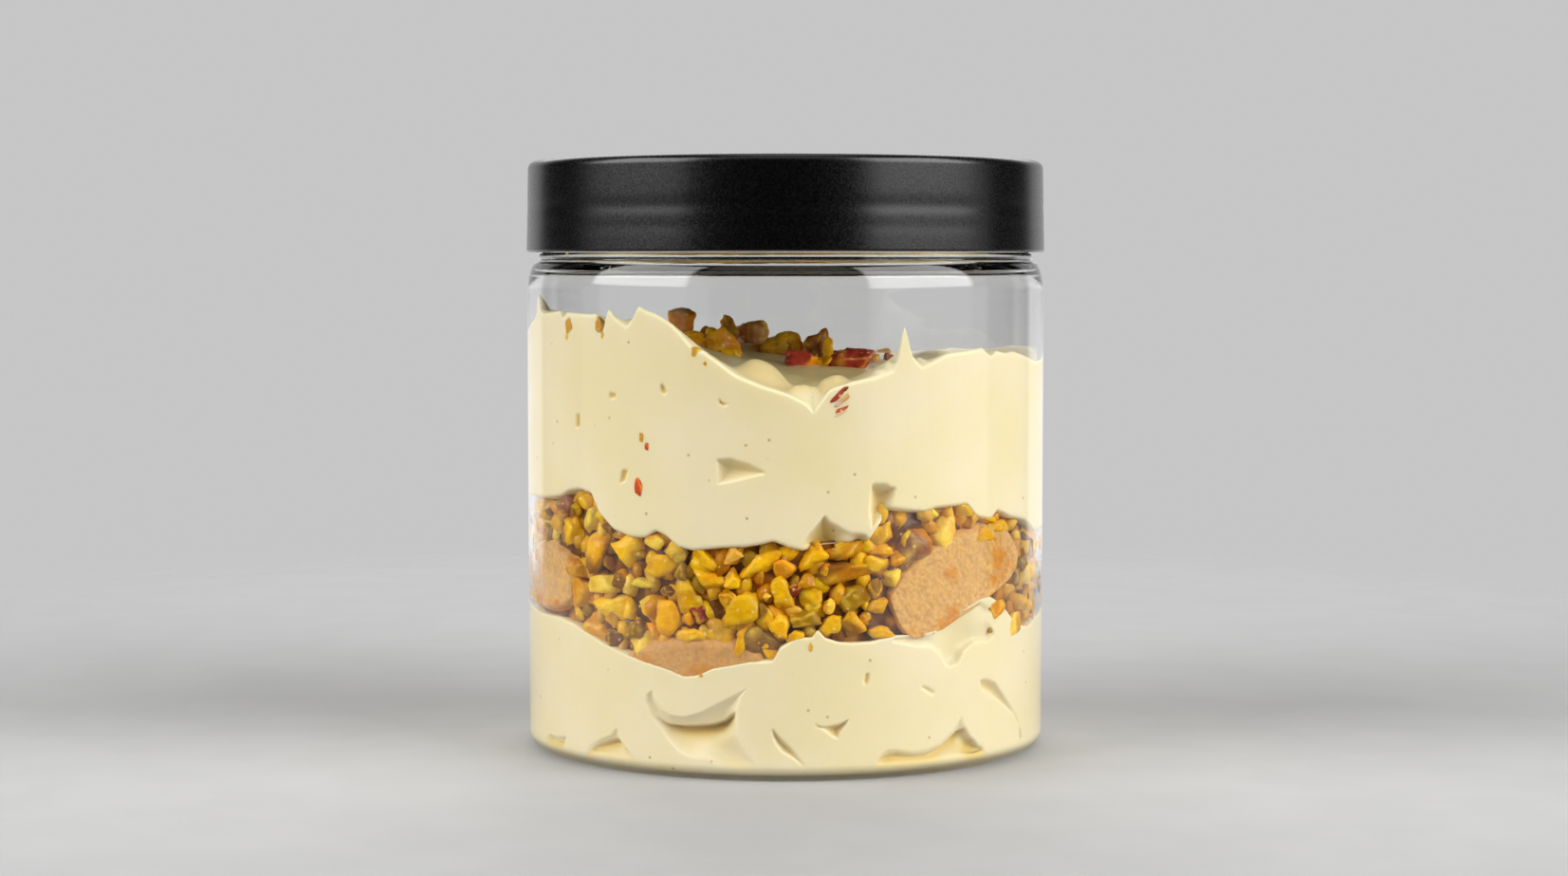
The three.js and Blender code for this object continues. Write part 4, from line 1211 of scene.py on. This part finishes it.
def makeFrontNuts():
    # The pieces of the photo, widened where the glass turns away from the viewer.
    places, wide, high, rotations, names = fromPhoto(frontNuts)
    wide = wide / np.cos(np.radians(np.minimum(np.abs(places[:, 0]), frontLooks["steepest"])))
    deep = frontLooks["depth"] * np.sqrt(wide * high)
    halves = np.stack([wide, deep, high], -1) * frontLooks["grow"]
    shapes, faces, edge, skin = choppedShapes(len(names), 3, 21, sharpness=frontLooks["sharpness"])
    centres = onJar(places[:, 0], foodRadius - frontLooks["standsBack"] * halves[:, 1], places[:, 1])
    # the smaller of two pieces that overlap lies in front
    rank = np.argsort(np.argsort(wide * high)) / len(names)
    points = chipMesh(shapes, halves, rotations, centres, frontLooks["rough"])
    points = pressToGlass(points, foodRadius - 0.02 - frontLooks["overlap"] * rank)
    joinChips("nut_chips_front", points, faces, chipTones(names, frontLooks["skins"], edge, skin, 9))


def spreadPlaces(count, seed, room, keepOut):
    # Places in the nut layer that lie far from each other: each is the best of several random tries.
    draw = np.random.default_rng(seed)
    placed = np.empty((0, 2))
    for number in range(count):
        bearing = draw.uniform(-180, 180, nutLayer["tries"])
        low, high = layerRange(bearing)
        height = low + room + (high - low - 2 * room) * draw.random(len(bearing))
        tries = np.stack([bearing, height], -1)
        tries = tries[~keepOut(tries)]
        if not len(tries):
            continue
        if len(placed):
            across = halfTurn(tries[:, None, 0] - placed[None, :, 0])
            apart = np.hypot(across * mmPerDegree, tries[:, None, 1] - placed[None, :, 1]).min(axis=1)
            tries = tries[[apart.argmax()]]
        placed = np.concatenate([placed, tries[:1]])
    return placed


def makeHeap(name, heap, keepOut):
    # Randomly turned chips of mixed sizes over the layer, but for the places kept out.
    placeSeed, seed = heap["seeds"]
    places = spreadPlaces(heap["pieces"], placeSeed, heap["room"], keepOut)
    draw = np.random.default_rng(seed)
    count = len(places)
    shapes, faces, edge, skin = choppedShapes(count, 1, seed + 1, cuts=4)
    smallest, largest = heap["sizes"]
    size = smallest + (largest - smallest) * draw.random(count) ** 1.4
    halves = size[:, None] * np.array(nutLayer["proportions"])
    rotations = turns(draw.uniform(-np.pi, np.pi, (count, 3)))
    centres = onJar(places[:, 0], heap["radius"] - nutLayer["standsBack"] * size, places[:, 1])
    points = chipMesh(shapes, halves, rotations, centres, nutLayer["rough"], seed)
    points = pressToGlass(points, min(heap["radius"], foodRadius - 0.01))
    names = draw.choice(list(nutLayer["tones"]), count, p=list(nutLayer["tones"].values()))
    joinChips(name, points, faces, chipTones(names, nutLayer["skins"], edge, skin, seed + 2))


def makeNutCore():
    # The crumb behind the chips, painted dark as the shade between them: a band between the creams with
    # noise lumps. It swells at the jar's two outlines, so that no light shows between the pieces there.
    bearing = np.linspace(0, 360, 361)[:-1][None, :]
    low, high = layerRange(bearing)
    over = nutLayer["coreOverlap"]
    height = low - over + (high - low + 2 * over) * np.linspace(0, 1, nutLayer["coreRows"])[:, None]
    rings = onJar(bearing + 0 * height, nutLayer["core"], height)
    lumps = softNoise(rings, nutLayer["lumpSize"], 31) + 0.5 * softNoise(rings, 1.4, 32)
    turned = np.abs(halfTurn(bearing))
    start, full, fullTo, end = nutLayer["swellBearings"]
    swell = nutLayer["swell"] * smoothStep(start, full, turned) * smoothStep(end, fullTo, turned)
    reach = np.minimum(nutLayer["core"] + swell + nutLayer["lumpRise"] * lumps, foodRadius - 0.1)
    rings = onJar(bearing + 0 * height, reach, height)
    inner = nutLayer["innerRings"]
    foot = np.array([onJar(bearing, radius, low - over)[0] for radius in inner[::-1]])
    top = np.array([onJar(bearing, radius, high + over)[0] for radius in inner])
    middle = [np.array([0, 0, float(level.mean())]) for level in (low, high)]
    points, faces = skinRings(np.concatenate([foot, rings, top]), *middle)
    tone = np.tile(linear(*nutLayer["coreShade"])[:3], (len(points), 1))
    mixed = softNoise(points, 2.2, 33)[:, None]
    crumb = np.array(linear(*nutLayer["coreCrumb"])[:3])
    tone = tone * (1 + 0.5 * mixed) + np.maximum(mixed - 0.1, 0) * crumb
    piece = putMesh("nut_core", points, faces, nutMaterial, marks={"tone": tone})
    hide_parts("nut_layer")


def overSponge(places):
    # True where a sponge finger shows at the glass.
    spots = [{"outline": size["shows"]} for size in fingers.values() if "shows" in size]
    inside = [insideDistance(spot, places[:, 0], places[:, 1]) for spot in spots]
    return np.max(inside, axis=0) > -0.9


def inFront(places):
    # True where the listed pieces or a sponge finger already fill the glass.
    return (np.abs(places[:, 0]) < nutLayer["shownHalf"]) | overSponge(places)


def outOfHeap(places):
    # True over a sponge finger, and in the cream below the right-hand one.
    start, end, top = nutLayer["creamCorner"]
    bearing, height = places[:, 0], places[:, 1]
    return overSponge(places) | ((bearing > start) & (bearing < end) & (height < top))


makeNutCore()
makeFrontNuts()
makeHeap("nut_chips_behind", heaps["nut_chips_behind"], outOfHeap)
makeHeap("nut_chips_round", heaps["nut_chips_round"], inFront)
print("nuts made")

spongeLooks = {
    "pale": linear(226, 178, 108),
    "toasted": linear(220, 144, 42),
    "patchScale": 170.0,
    "patchRange": (0.53, 0.66),
    "crumb": (0.88, 0.8, 0.7, 1),
    "crumbScale": 1500.0,
    # the darker colour of pores, also painted over the front finger as shade
    "poreDarkAndShade": linear(190, 134, 72),
    "shader": {
        "Roughness": 0.55,
        "Specular IOR Level": 0.15,
        "Subsurface Weight": 0.2,
        "Subsurface Radius": (1.0, 0.5, 0.3),
        "Subsurface Scale": 1.2 * metresPerMm,
    },
    "grain": {"scale": 1500.0, "detail": 4.0, "strength": 0.6, "depthMm": 0.2},
}


def makeSpongeMaterial():
    # Soaked sponge: pale crumb with toasted patches and darker pores; the same darker colour is painted over
    # the front finger as shade.
    material, tree, shader = newMaterial("soaked sponge")
    looks = spongeLooks
    base = mottled(tree, looks["pale"], looks["toasted"], looks["patchScale"], *looks["patchRange"])
    crumb = mottled(tree, (1, 1, 1, 1), looks["crumb"], looks["crumbScale"])
    colour = mixColours(tree, 1.0, base, crumb, "MULTIPLY")
    colour = mixColours(tree, meshMark(tree, "poreDarkAndShade"), colour, looks["poreDarkAndShade"])
    setInputs(shader, {"Base Color": colour, **looks["shader"]})
    addGrain(tree, shader, **looks["grain"])
    return material


spongeMaterial = makeSpongeMaterial()


def squared(value):
    # A circle's sine or cosine bent towards a box's.
    return np.sign(value) * np.abs(value) ** sponge["boxiness"]


def wrapped(size, along, up, out):
    # A point of a finger, by its distances along, up and out from its middle, wrapped round the jar's axis.
    tilt = math.radians(size["tilt"])
    face = bore - sponge["inFromWall"]
    arcLength = along * math.cos(tilt) - up * math.sin(tilt)
    rise = along * math.sin(tilt) + up * math.cos(tilt)
    bearing = size["bearing"] + np.degrees(arcLength / face)
    return onJar(bearing, face - sponge["halfDepth"] + out, size["height"] + rise)


def makeFinger(node, size):
    # A rounded bar wrapped round the jar's axis, pressed to the glass, with pores let in by noise. Away
    # from what shows of it, it stands back behind the nuts.
    sweep = -np.pi / 2 + np.pi * (np.arange(sponge["rings"]) + 1) / (sponge["rings"] + 1)
    turn = -2 * np.pi * np.arange(sponge["sides"]) / sponge["sides"]
    girth = np.cos(sweep)[:, None] ** sponge["endPower"]
    halfLength = size["halfLength"] * sponge["stretch"]
    rings = wrapped(
        size, halfLength * np.sin(sweep)[:, None] + 0 * turn,
        size["halfHeight"] * sponge["swell"] * girth * squared(np.sin(turn)),
        sponge["halfDepth"] * girth * squared(np.cos(turn)),
    )
    ends = [wrapped(size, np.array(way * halfLength), 0.0, 0.0) for way in (-1, 1)]
    points, faces = skinRings(rings, *ends)
    moveOut(points, sponge["pressedOut"])
    points = pressToGlass(points)
    if "shows" in size:
        bearing = np.degrees(np.arctan2(points[:, 0], -points[:, 1]))
        hidden = -insideDistance({"outline": size["shows"]}, bearing, points[:, 2])
        facing = np.concatenate([[0], (np.cos(turn) * girth).ravel(), [0]])
        flat = smoothStep(0.7, -0.9, hidden) * smoothStep(0.0, 0.3, facing)
        moveOut(points, flat * (foodRadius - sponge["faceBack"] - axisDistance(points)))
    else:
        hidden = np.abs(points[:, 2] - size["height"]) - sponge["halfShown"]
        hidden = hidden + sponge["ragged"] * softNoise(points, 4.0, 73)
    moveOut(points, -sponge["behindNuts"] * smoothStep(-0.4, 3.2, hidden))
    pits = smoothStep(0.2, 0.75, softNoise(points, 0.5, 71))
    pits = np.clip(pits + 0.6 * smoothStep(0.3, 0.8, softNoise(points, 1.1, 72)), 0, 1)
    moveOut(points, -sponge["poreDepth"] * pits)
    # darker pits, and on the front finger a painted shade all over it
    darkPoresAndShade = sponge["poreDarkening"] * pits + size.get("fingerShade", 0.0)
    piece = putMesh(node + "_sponge", points, faces, spongeMaterial, marks={"poreDarkAndShade": darkPoresAndShade})
    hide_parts(node)


for node, size in fingers.items():
    makeFinger(node, size)
print("sponge fingers made")

# Centre and half sizes of each chopped nut on the cream, with its tone.
toppings = [
    (-19.4, 3, 75.8, (2.9, 2.6, 2.6), "deep"), (-16.2, -3.4, 72.9, (1.7, 1.5, 1.8), "yellow"),
    (-11.8, -2, 71.8, (3.4, 2.9, 3.9), "golden"), (-10.6, 9, 74.8, (1.8, 1.7, 2.2), "olive"),
    (-7.0, 13, 73.7, (3.5, 3.0, 3.0), "brown"), (-0.4, 4.4, 71.2, (4.0, 2.2, 2.1), "olive"),
    (2.7, -7.6, 68.5, (3.3, 2.4, 2.1), "red"), (5.8, 1.4, 71.0, (2.2, 2.2, 2.9), "brown"),
    (11.2, -5.4, 68.7, (4.2, 2.5, 2.2), "red"), (18.7, 6, 68.9, (1.3, 1.3, 1.2), "red"),
    (-24, 20, 72.4, (2.8, 2.5, 2.2), "golden"), (3, 27, 69.6, (3.0, 2.6, 2.0), "olive"),
    (17, 22, 69.0, (2.4, 2.2, 1.7), "olive"), (27, -8, 67.7, (2.1, 2.0, 1.6), "deep"),
]
# Crumbs and slivers among them, joined in one piece.
smallToppings = [
    (-13.6, 1.5, 73.1, (1.8, 1.4, 1.4), "brown"), (-4.2, 6, 70.5, (2.6, 1.2, 1.1), "olive"),
    (7.6, -1.5, 70.2, (1.0, 1.1, 2.5), "golden"), (6.4, -6.6, 68.1, (1.9, 1.4, 1.7), "golden"),
    (0.9, -9.2, 67.4, (1.2, 1.1, 0.9), "deep"), (16.2, 3, 68.9, (0.9, 0.8, 0.7), "olive"),
    (-9.4, -5.2, 69.6, (1.6, 1.2, 1.5), "yellow"), (-27, 24, 71.9, (1.3, 1.2, 1.0), "brown"),
    (8, 30, 69.2, (1.5, 1.2, 1.0), "golden"), (10, 26, 69.2, (1.2, 1.2, 0.9), "red"),
    (-1, 33, 70.0, (1.2, 1.4, 0.9), "golden"), (-8, 24, 70.6, (1.2, 1.4, 0.9), "olive"),
]


toppingLooks = {
    "grow": 1.08,
    "turn": 0.25,
    "sharpness": 9,
    "rough": 0.74,
    # pale cut edges, partly a painted highlight
    "edgeColourAndHighlight": 0.55,
    # painted light: the toppings' tones made brighter, as light that the lid keeps off them
    "brightness": 1.75,
    "patches": 0.35,
    "patchSize": 0.9,
    "brightest": 0.88,
    "skins": {"tones": ["golden", "deep", "orange"], "share": 0.6},
}


def makeToppings():
    # Chopped nuts at their places, a little turned, with lighter and darker patches, their tones painted
    # brighter as light that the lid keeps off them.
    looks = toppingLooks
    rows = toppings + smallToppings
    shapes, faces, edge, skin = choppedShapes(len(rows), 4, 83, sharpness=looks["sharpness"])
    halves = np.array([row[3] for row in rows]) * looks["grow"]
    draw = np.random.default_rng(84)
    rotations = turns(draw.uniform(-looks["turn"], looks["turn"], (len(rows), 3)))
    centres = np.array([row[:3] for row in rows], float)
    points = chipMesh(shapes, halves, rotations, centres, looks["rough"], 85)
    tones = chipTones([row[4] for row in rows], looks["skins"], looks["edgeColourAndHighlight"] * edge, skin, 86)
    patches = softNoise(points, looks["patchSize"], 87)[..., None]
    # painted light: brighter tones stand in for light under the lid
    tones = tones * looks["brightness"] * (1 + looks["patches"] * patches)
    tones = tones * np.minimum(1, looks["brightest"] / tones.max(axis=-1, keepdims=True))
    for number in range(len(toppings)):
        piece = putMesh(f"chopped_nut_{number + 1}", points[number], faces, nutMaterial,
                        marks={"tone": tones[number]})
        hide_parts(f"topping_nut_{number + 1}")
    joinChips("small_chopped_nuts", points[len(toppings):], faces, tones[len(toppings):])


makeToppings()
print("toppings made")

# Small slivers and crumbs pressed to the glass in the cream: centre, width, height, tilt, tone.
creamBits = [
    (673, 514, 13, 20, 12, "scarlet"), (675, 461, 6, 11, 0, "orange"), (681, 470, 7, 9, 0, "scarlet"),
    (886, 415, 24, 6, 42, "rose"), (890, 421, 22, 7, 40, "blush"), (888, 431, 22, 5, 24, "rose"),
    (886, 436, 16, 4, 24, "blush"), (892, 410, 8, 4, 40, "red"),
    (739, 712, 4, 4, 0, "deep"), (806, 682, 8, 6, 0, "golden"),
    (854, 682, 5, 9, 0, "golden"), (1045, 664, 5, 6, 0, "olive"), (1087, 644, 4, 5, 0, "red"),
    (599, 342, 13, 18, 15, "tan"), (597, 354, 6, 9, 0, "pale"), (631, 343, 11, 18, 0, "tan"),
    (635, 353, 5, 8, 0, "golden"), (732, 371, 11, 10, 0, "pale"), (743, 383, 4, 5, 0, "deep"),
    (815, 668, 3, 3, 0, "brown"), (1053, 641, 32, 24, -10, "deep"), (1070, 656, 26, 34, -15, "pale"),
]


bitLooks = {
    "grow": 1.15,
    "halfDepth": 1.4,
    "standsBack": 0.3,
    "rough": 0.15,
    "intoWall": 0.06,
    "skins": {"tones": ["tan"], "share": 0.4},
}


def makeCreamBits():
    # Like the front nuts, but thin and in the face of the cream.
    places, wide, high, rotations, names = fromPhoto(creamBits)
    halves = np.stack([wide, bitLooks["halfDepth"] + 0 * wide, high], -1) * bitLooks["grow"]
    shapes, faces, edge, skin = choppedShapes(len(names), 3, 91)
    centres = onJar(places[:, 0], foodRadius - bitLooks["standsBack"], places[:, 1])
    points = chipMesh(shapes, halves, rotations, centres, bitLooks["rough"])
    points = pressToGlass(points, foodRadius + bitLooks["intoWall"])
    joinChips("cream_bits", points, faces, chipTones(names, bitLooks["skins"], edge, skin, 92))


makeCreamBits()
print("bits in the cream made")

studio = {
    "backdrop": 0.565,
    "floorColours": ((0.44, 0.44, 0.44, 1), (0.425, 0.425, 0.425, 1)),
    "floorMottle": 60.0,
    "floorRoughness": 0.7,
    "floorSpecular": 0.2,
    "floorRadius": 0.9,
    "fadeCentre": 0.08,
    "fadeFrom": 0.19,
    "fadeTo": 0.3,
    # a soft shade across the floor behind the jar: middle and half width in metres, strength
    "shade": (0.045, 0.075, 0.19),
    "dark": 0.012,
    # lights: brightness, then bands of bearing, of distance from the shown side ("aside") or of elevation,
    # each with its limits and the softness of its edges in degrees; 400 and 200 lie past all of them
    "lights": [
        (0.66, ("aside", 137, 400, 3)),  # backdrop
        (0.3, ("elevation", -200, -1, 2), ("aside", 112, 400, 12)),  # below
        (0.95, ("elevation", 74, 200, 5)),  # overhead
        (1.9, ("aside", 150, 400, 4), ("elevation", 18, 52, 3)),  # rear
        (5.5, ("bearing", -94, -44, 2), ("elevation", 8, 50, 1.5)),  # left softbox
        (6.0, ("bearing", 37, 90, 2), ("elevation", 6.5, 49, 1.5)),  # right softbox
        (0.3, ("bearing", -100, -44, 2), ("elevation", -26, 6, 1.5)),
        (0.5, ("bearing", 37, 100, 2), ("elevation", -26, 6, 1.5)),
        (0.6, ("bearing", -40, 34, 2), ("elevation", 36, 72, 1.5)),
    ],
}


def makeFloor():
    # A pale floor that fades into the backdrop away from the jar.
    material, tree, shader = newMaterial("floor")
    pale = mottled(tree, *studio["floorColours"], studio["floorMottle"])
    back = objectAxis(tree, "Y")
    middle, half, strength = studio["shade"]
    before = eased(tree, back, middle - half, middle, 0.0, strength)
    beyond = eased(tree, back, middle + 1.6 * half, middle, 0.7)
    shade = worked(tree, "MULTIPLY", before, beyond)
    setInputs(shader, {
        "Base Color": mixColours(tree, shade, pale, (0, 0, 0, 1)),
        "Roughness": studio["floorRoughness"], "Specular IOR Level": studio["floorSpecular"],
    })
    offset = addNode(tree, "ShaderNodeVectorMath", {0: objectPlace(tree), 1: (0, -studio["fadeCentre"], 0)},
                     operation="ADD")
    away = addNode(tree, "ShaderNodeVectorMath", {0: offset.outputs["Vector"]}, operation="LENGTH")
    fade = eased(tree, away.outputs["Value"], studio["fadeFrom"], studio["fadeTo"])
    mixShaders(tree, fade, shader, addNode(tree, "ShaderNodeBsdfTransparent"))
    size = studio["floorRadius"] / metresPerMm
    corners = np.array([[-size, -size, 0], [size, -size, 0], [size, size, 0], [-size, size, 0]])
    floor = putMesh("floor", corners, [[0, 1, 2], [0, 2, 3]], material, smooth=False, body=None)


def band(tree, value, low, high, soft):
    # 1 between low and high with soft edges, and 0 outside.
    rise = eased(tree, value, low - soft, low + soft)
    return worked(tree, "MULTIPLY", rise, eased(tree, value, high + soft, high - soft))


def makeStudio():
    # A studio in the world's light: softboxes, a pale backdrop behind and a dark side in front. What is
    # seen directly or straight through the clear jar is the plain backdrop, from every side.
    world = bpy.data.worlds.new("studio")
    bpy.context.scene.world = world
    world.use_nodes = True
    tree = world.node_tree
    tree.nodes.clear()
    place = addNode(tree, "ShaderNodeTexCoord")
    way = addNode(tree, "ShaderNodeSeparateXYZ", {"Vector": place.outputs["Generated"]}).outputs
    turn = worked(tree, "ARCTAN2", way["X"], worked(tree, "MULTIPLY", way["Y"], -1.0))
    bearing = worked(tree, "DEGREES", turn)
    measures = {
        "bearing": bearing,
        "aside": worked(tree, "ABSOLUTE", bearing),
        "elevation": worked(tree, "DEGREES", worked(tree, "ARCSINE", way["Z"])),
    }
    total = studio["dark"]
    for brightness, *bands in studio["lights"]:
        masks = [band(tree, measures[measure], *limits) for measure, *limits in bands]
        mask = masks[0] if len(masks) == 1 else worked(tree, "MULTIPLY", *masks)
        total = worked(tree, "MULTIPLY_ADD", mask, brightness, total)
    path = addNode(tree, "ShaderNodeLightPath").outputs
    bounces = worked(tree, "SUBTRACT", path["Ray Depth"], path["Transmission Depth"])
    through = worked(tree, "COMPARE", bounces, 1.0, 0.5)
    passed = worked(tree, "MULTIPLY", through, path["Is Transmission Ray"])
    straight = worked(tree, "MAXIMUM", passed, path["Is Camera Ray"])
    shown = addNode(tree, "ShaderNodeMix", {0: straight, 2: total, 3: studio["backdrop"]})
    light = addNode(tree, "ShaderNodeBackground", {"Color": shown.outputs[0]})
    addNode(tree, "ShaderNodeOutputWorld", {"Surface": light.outputs["Background"]})


makeFloor()
makeStudio()
print("floor and light made")
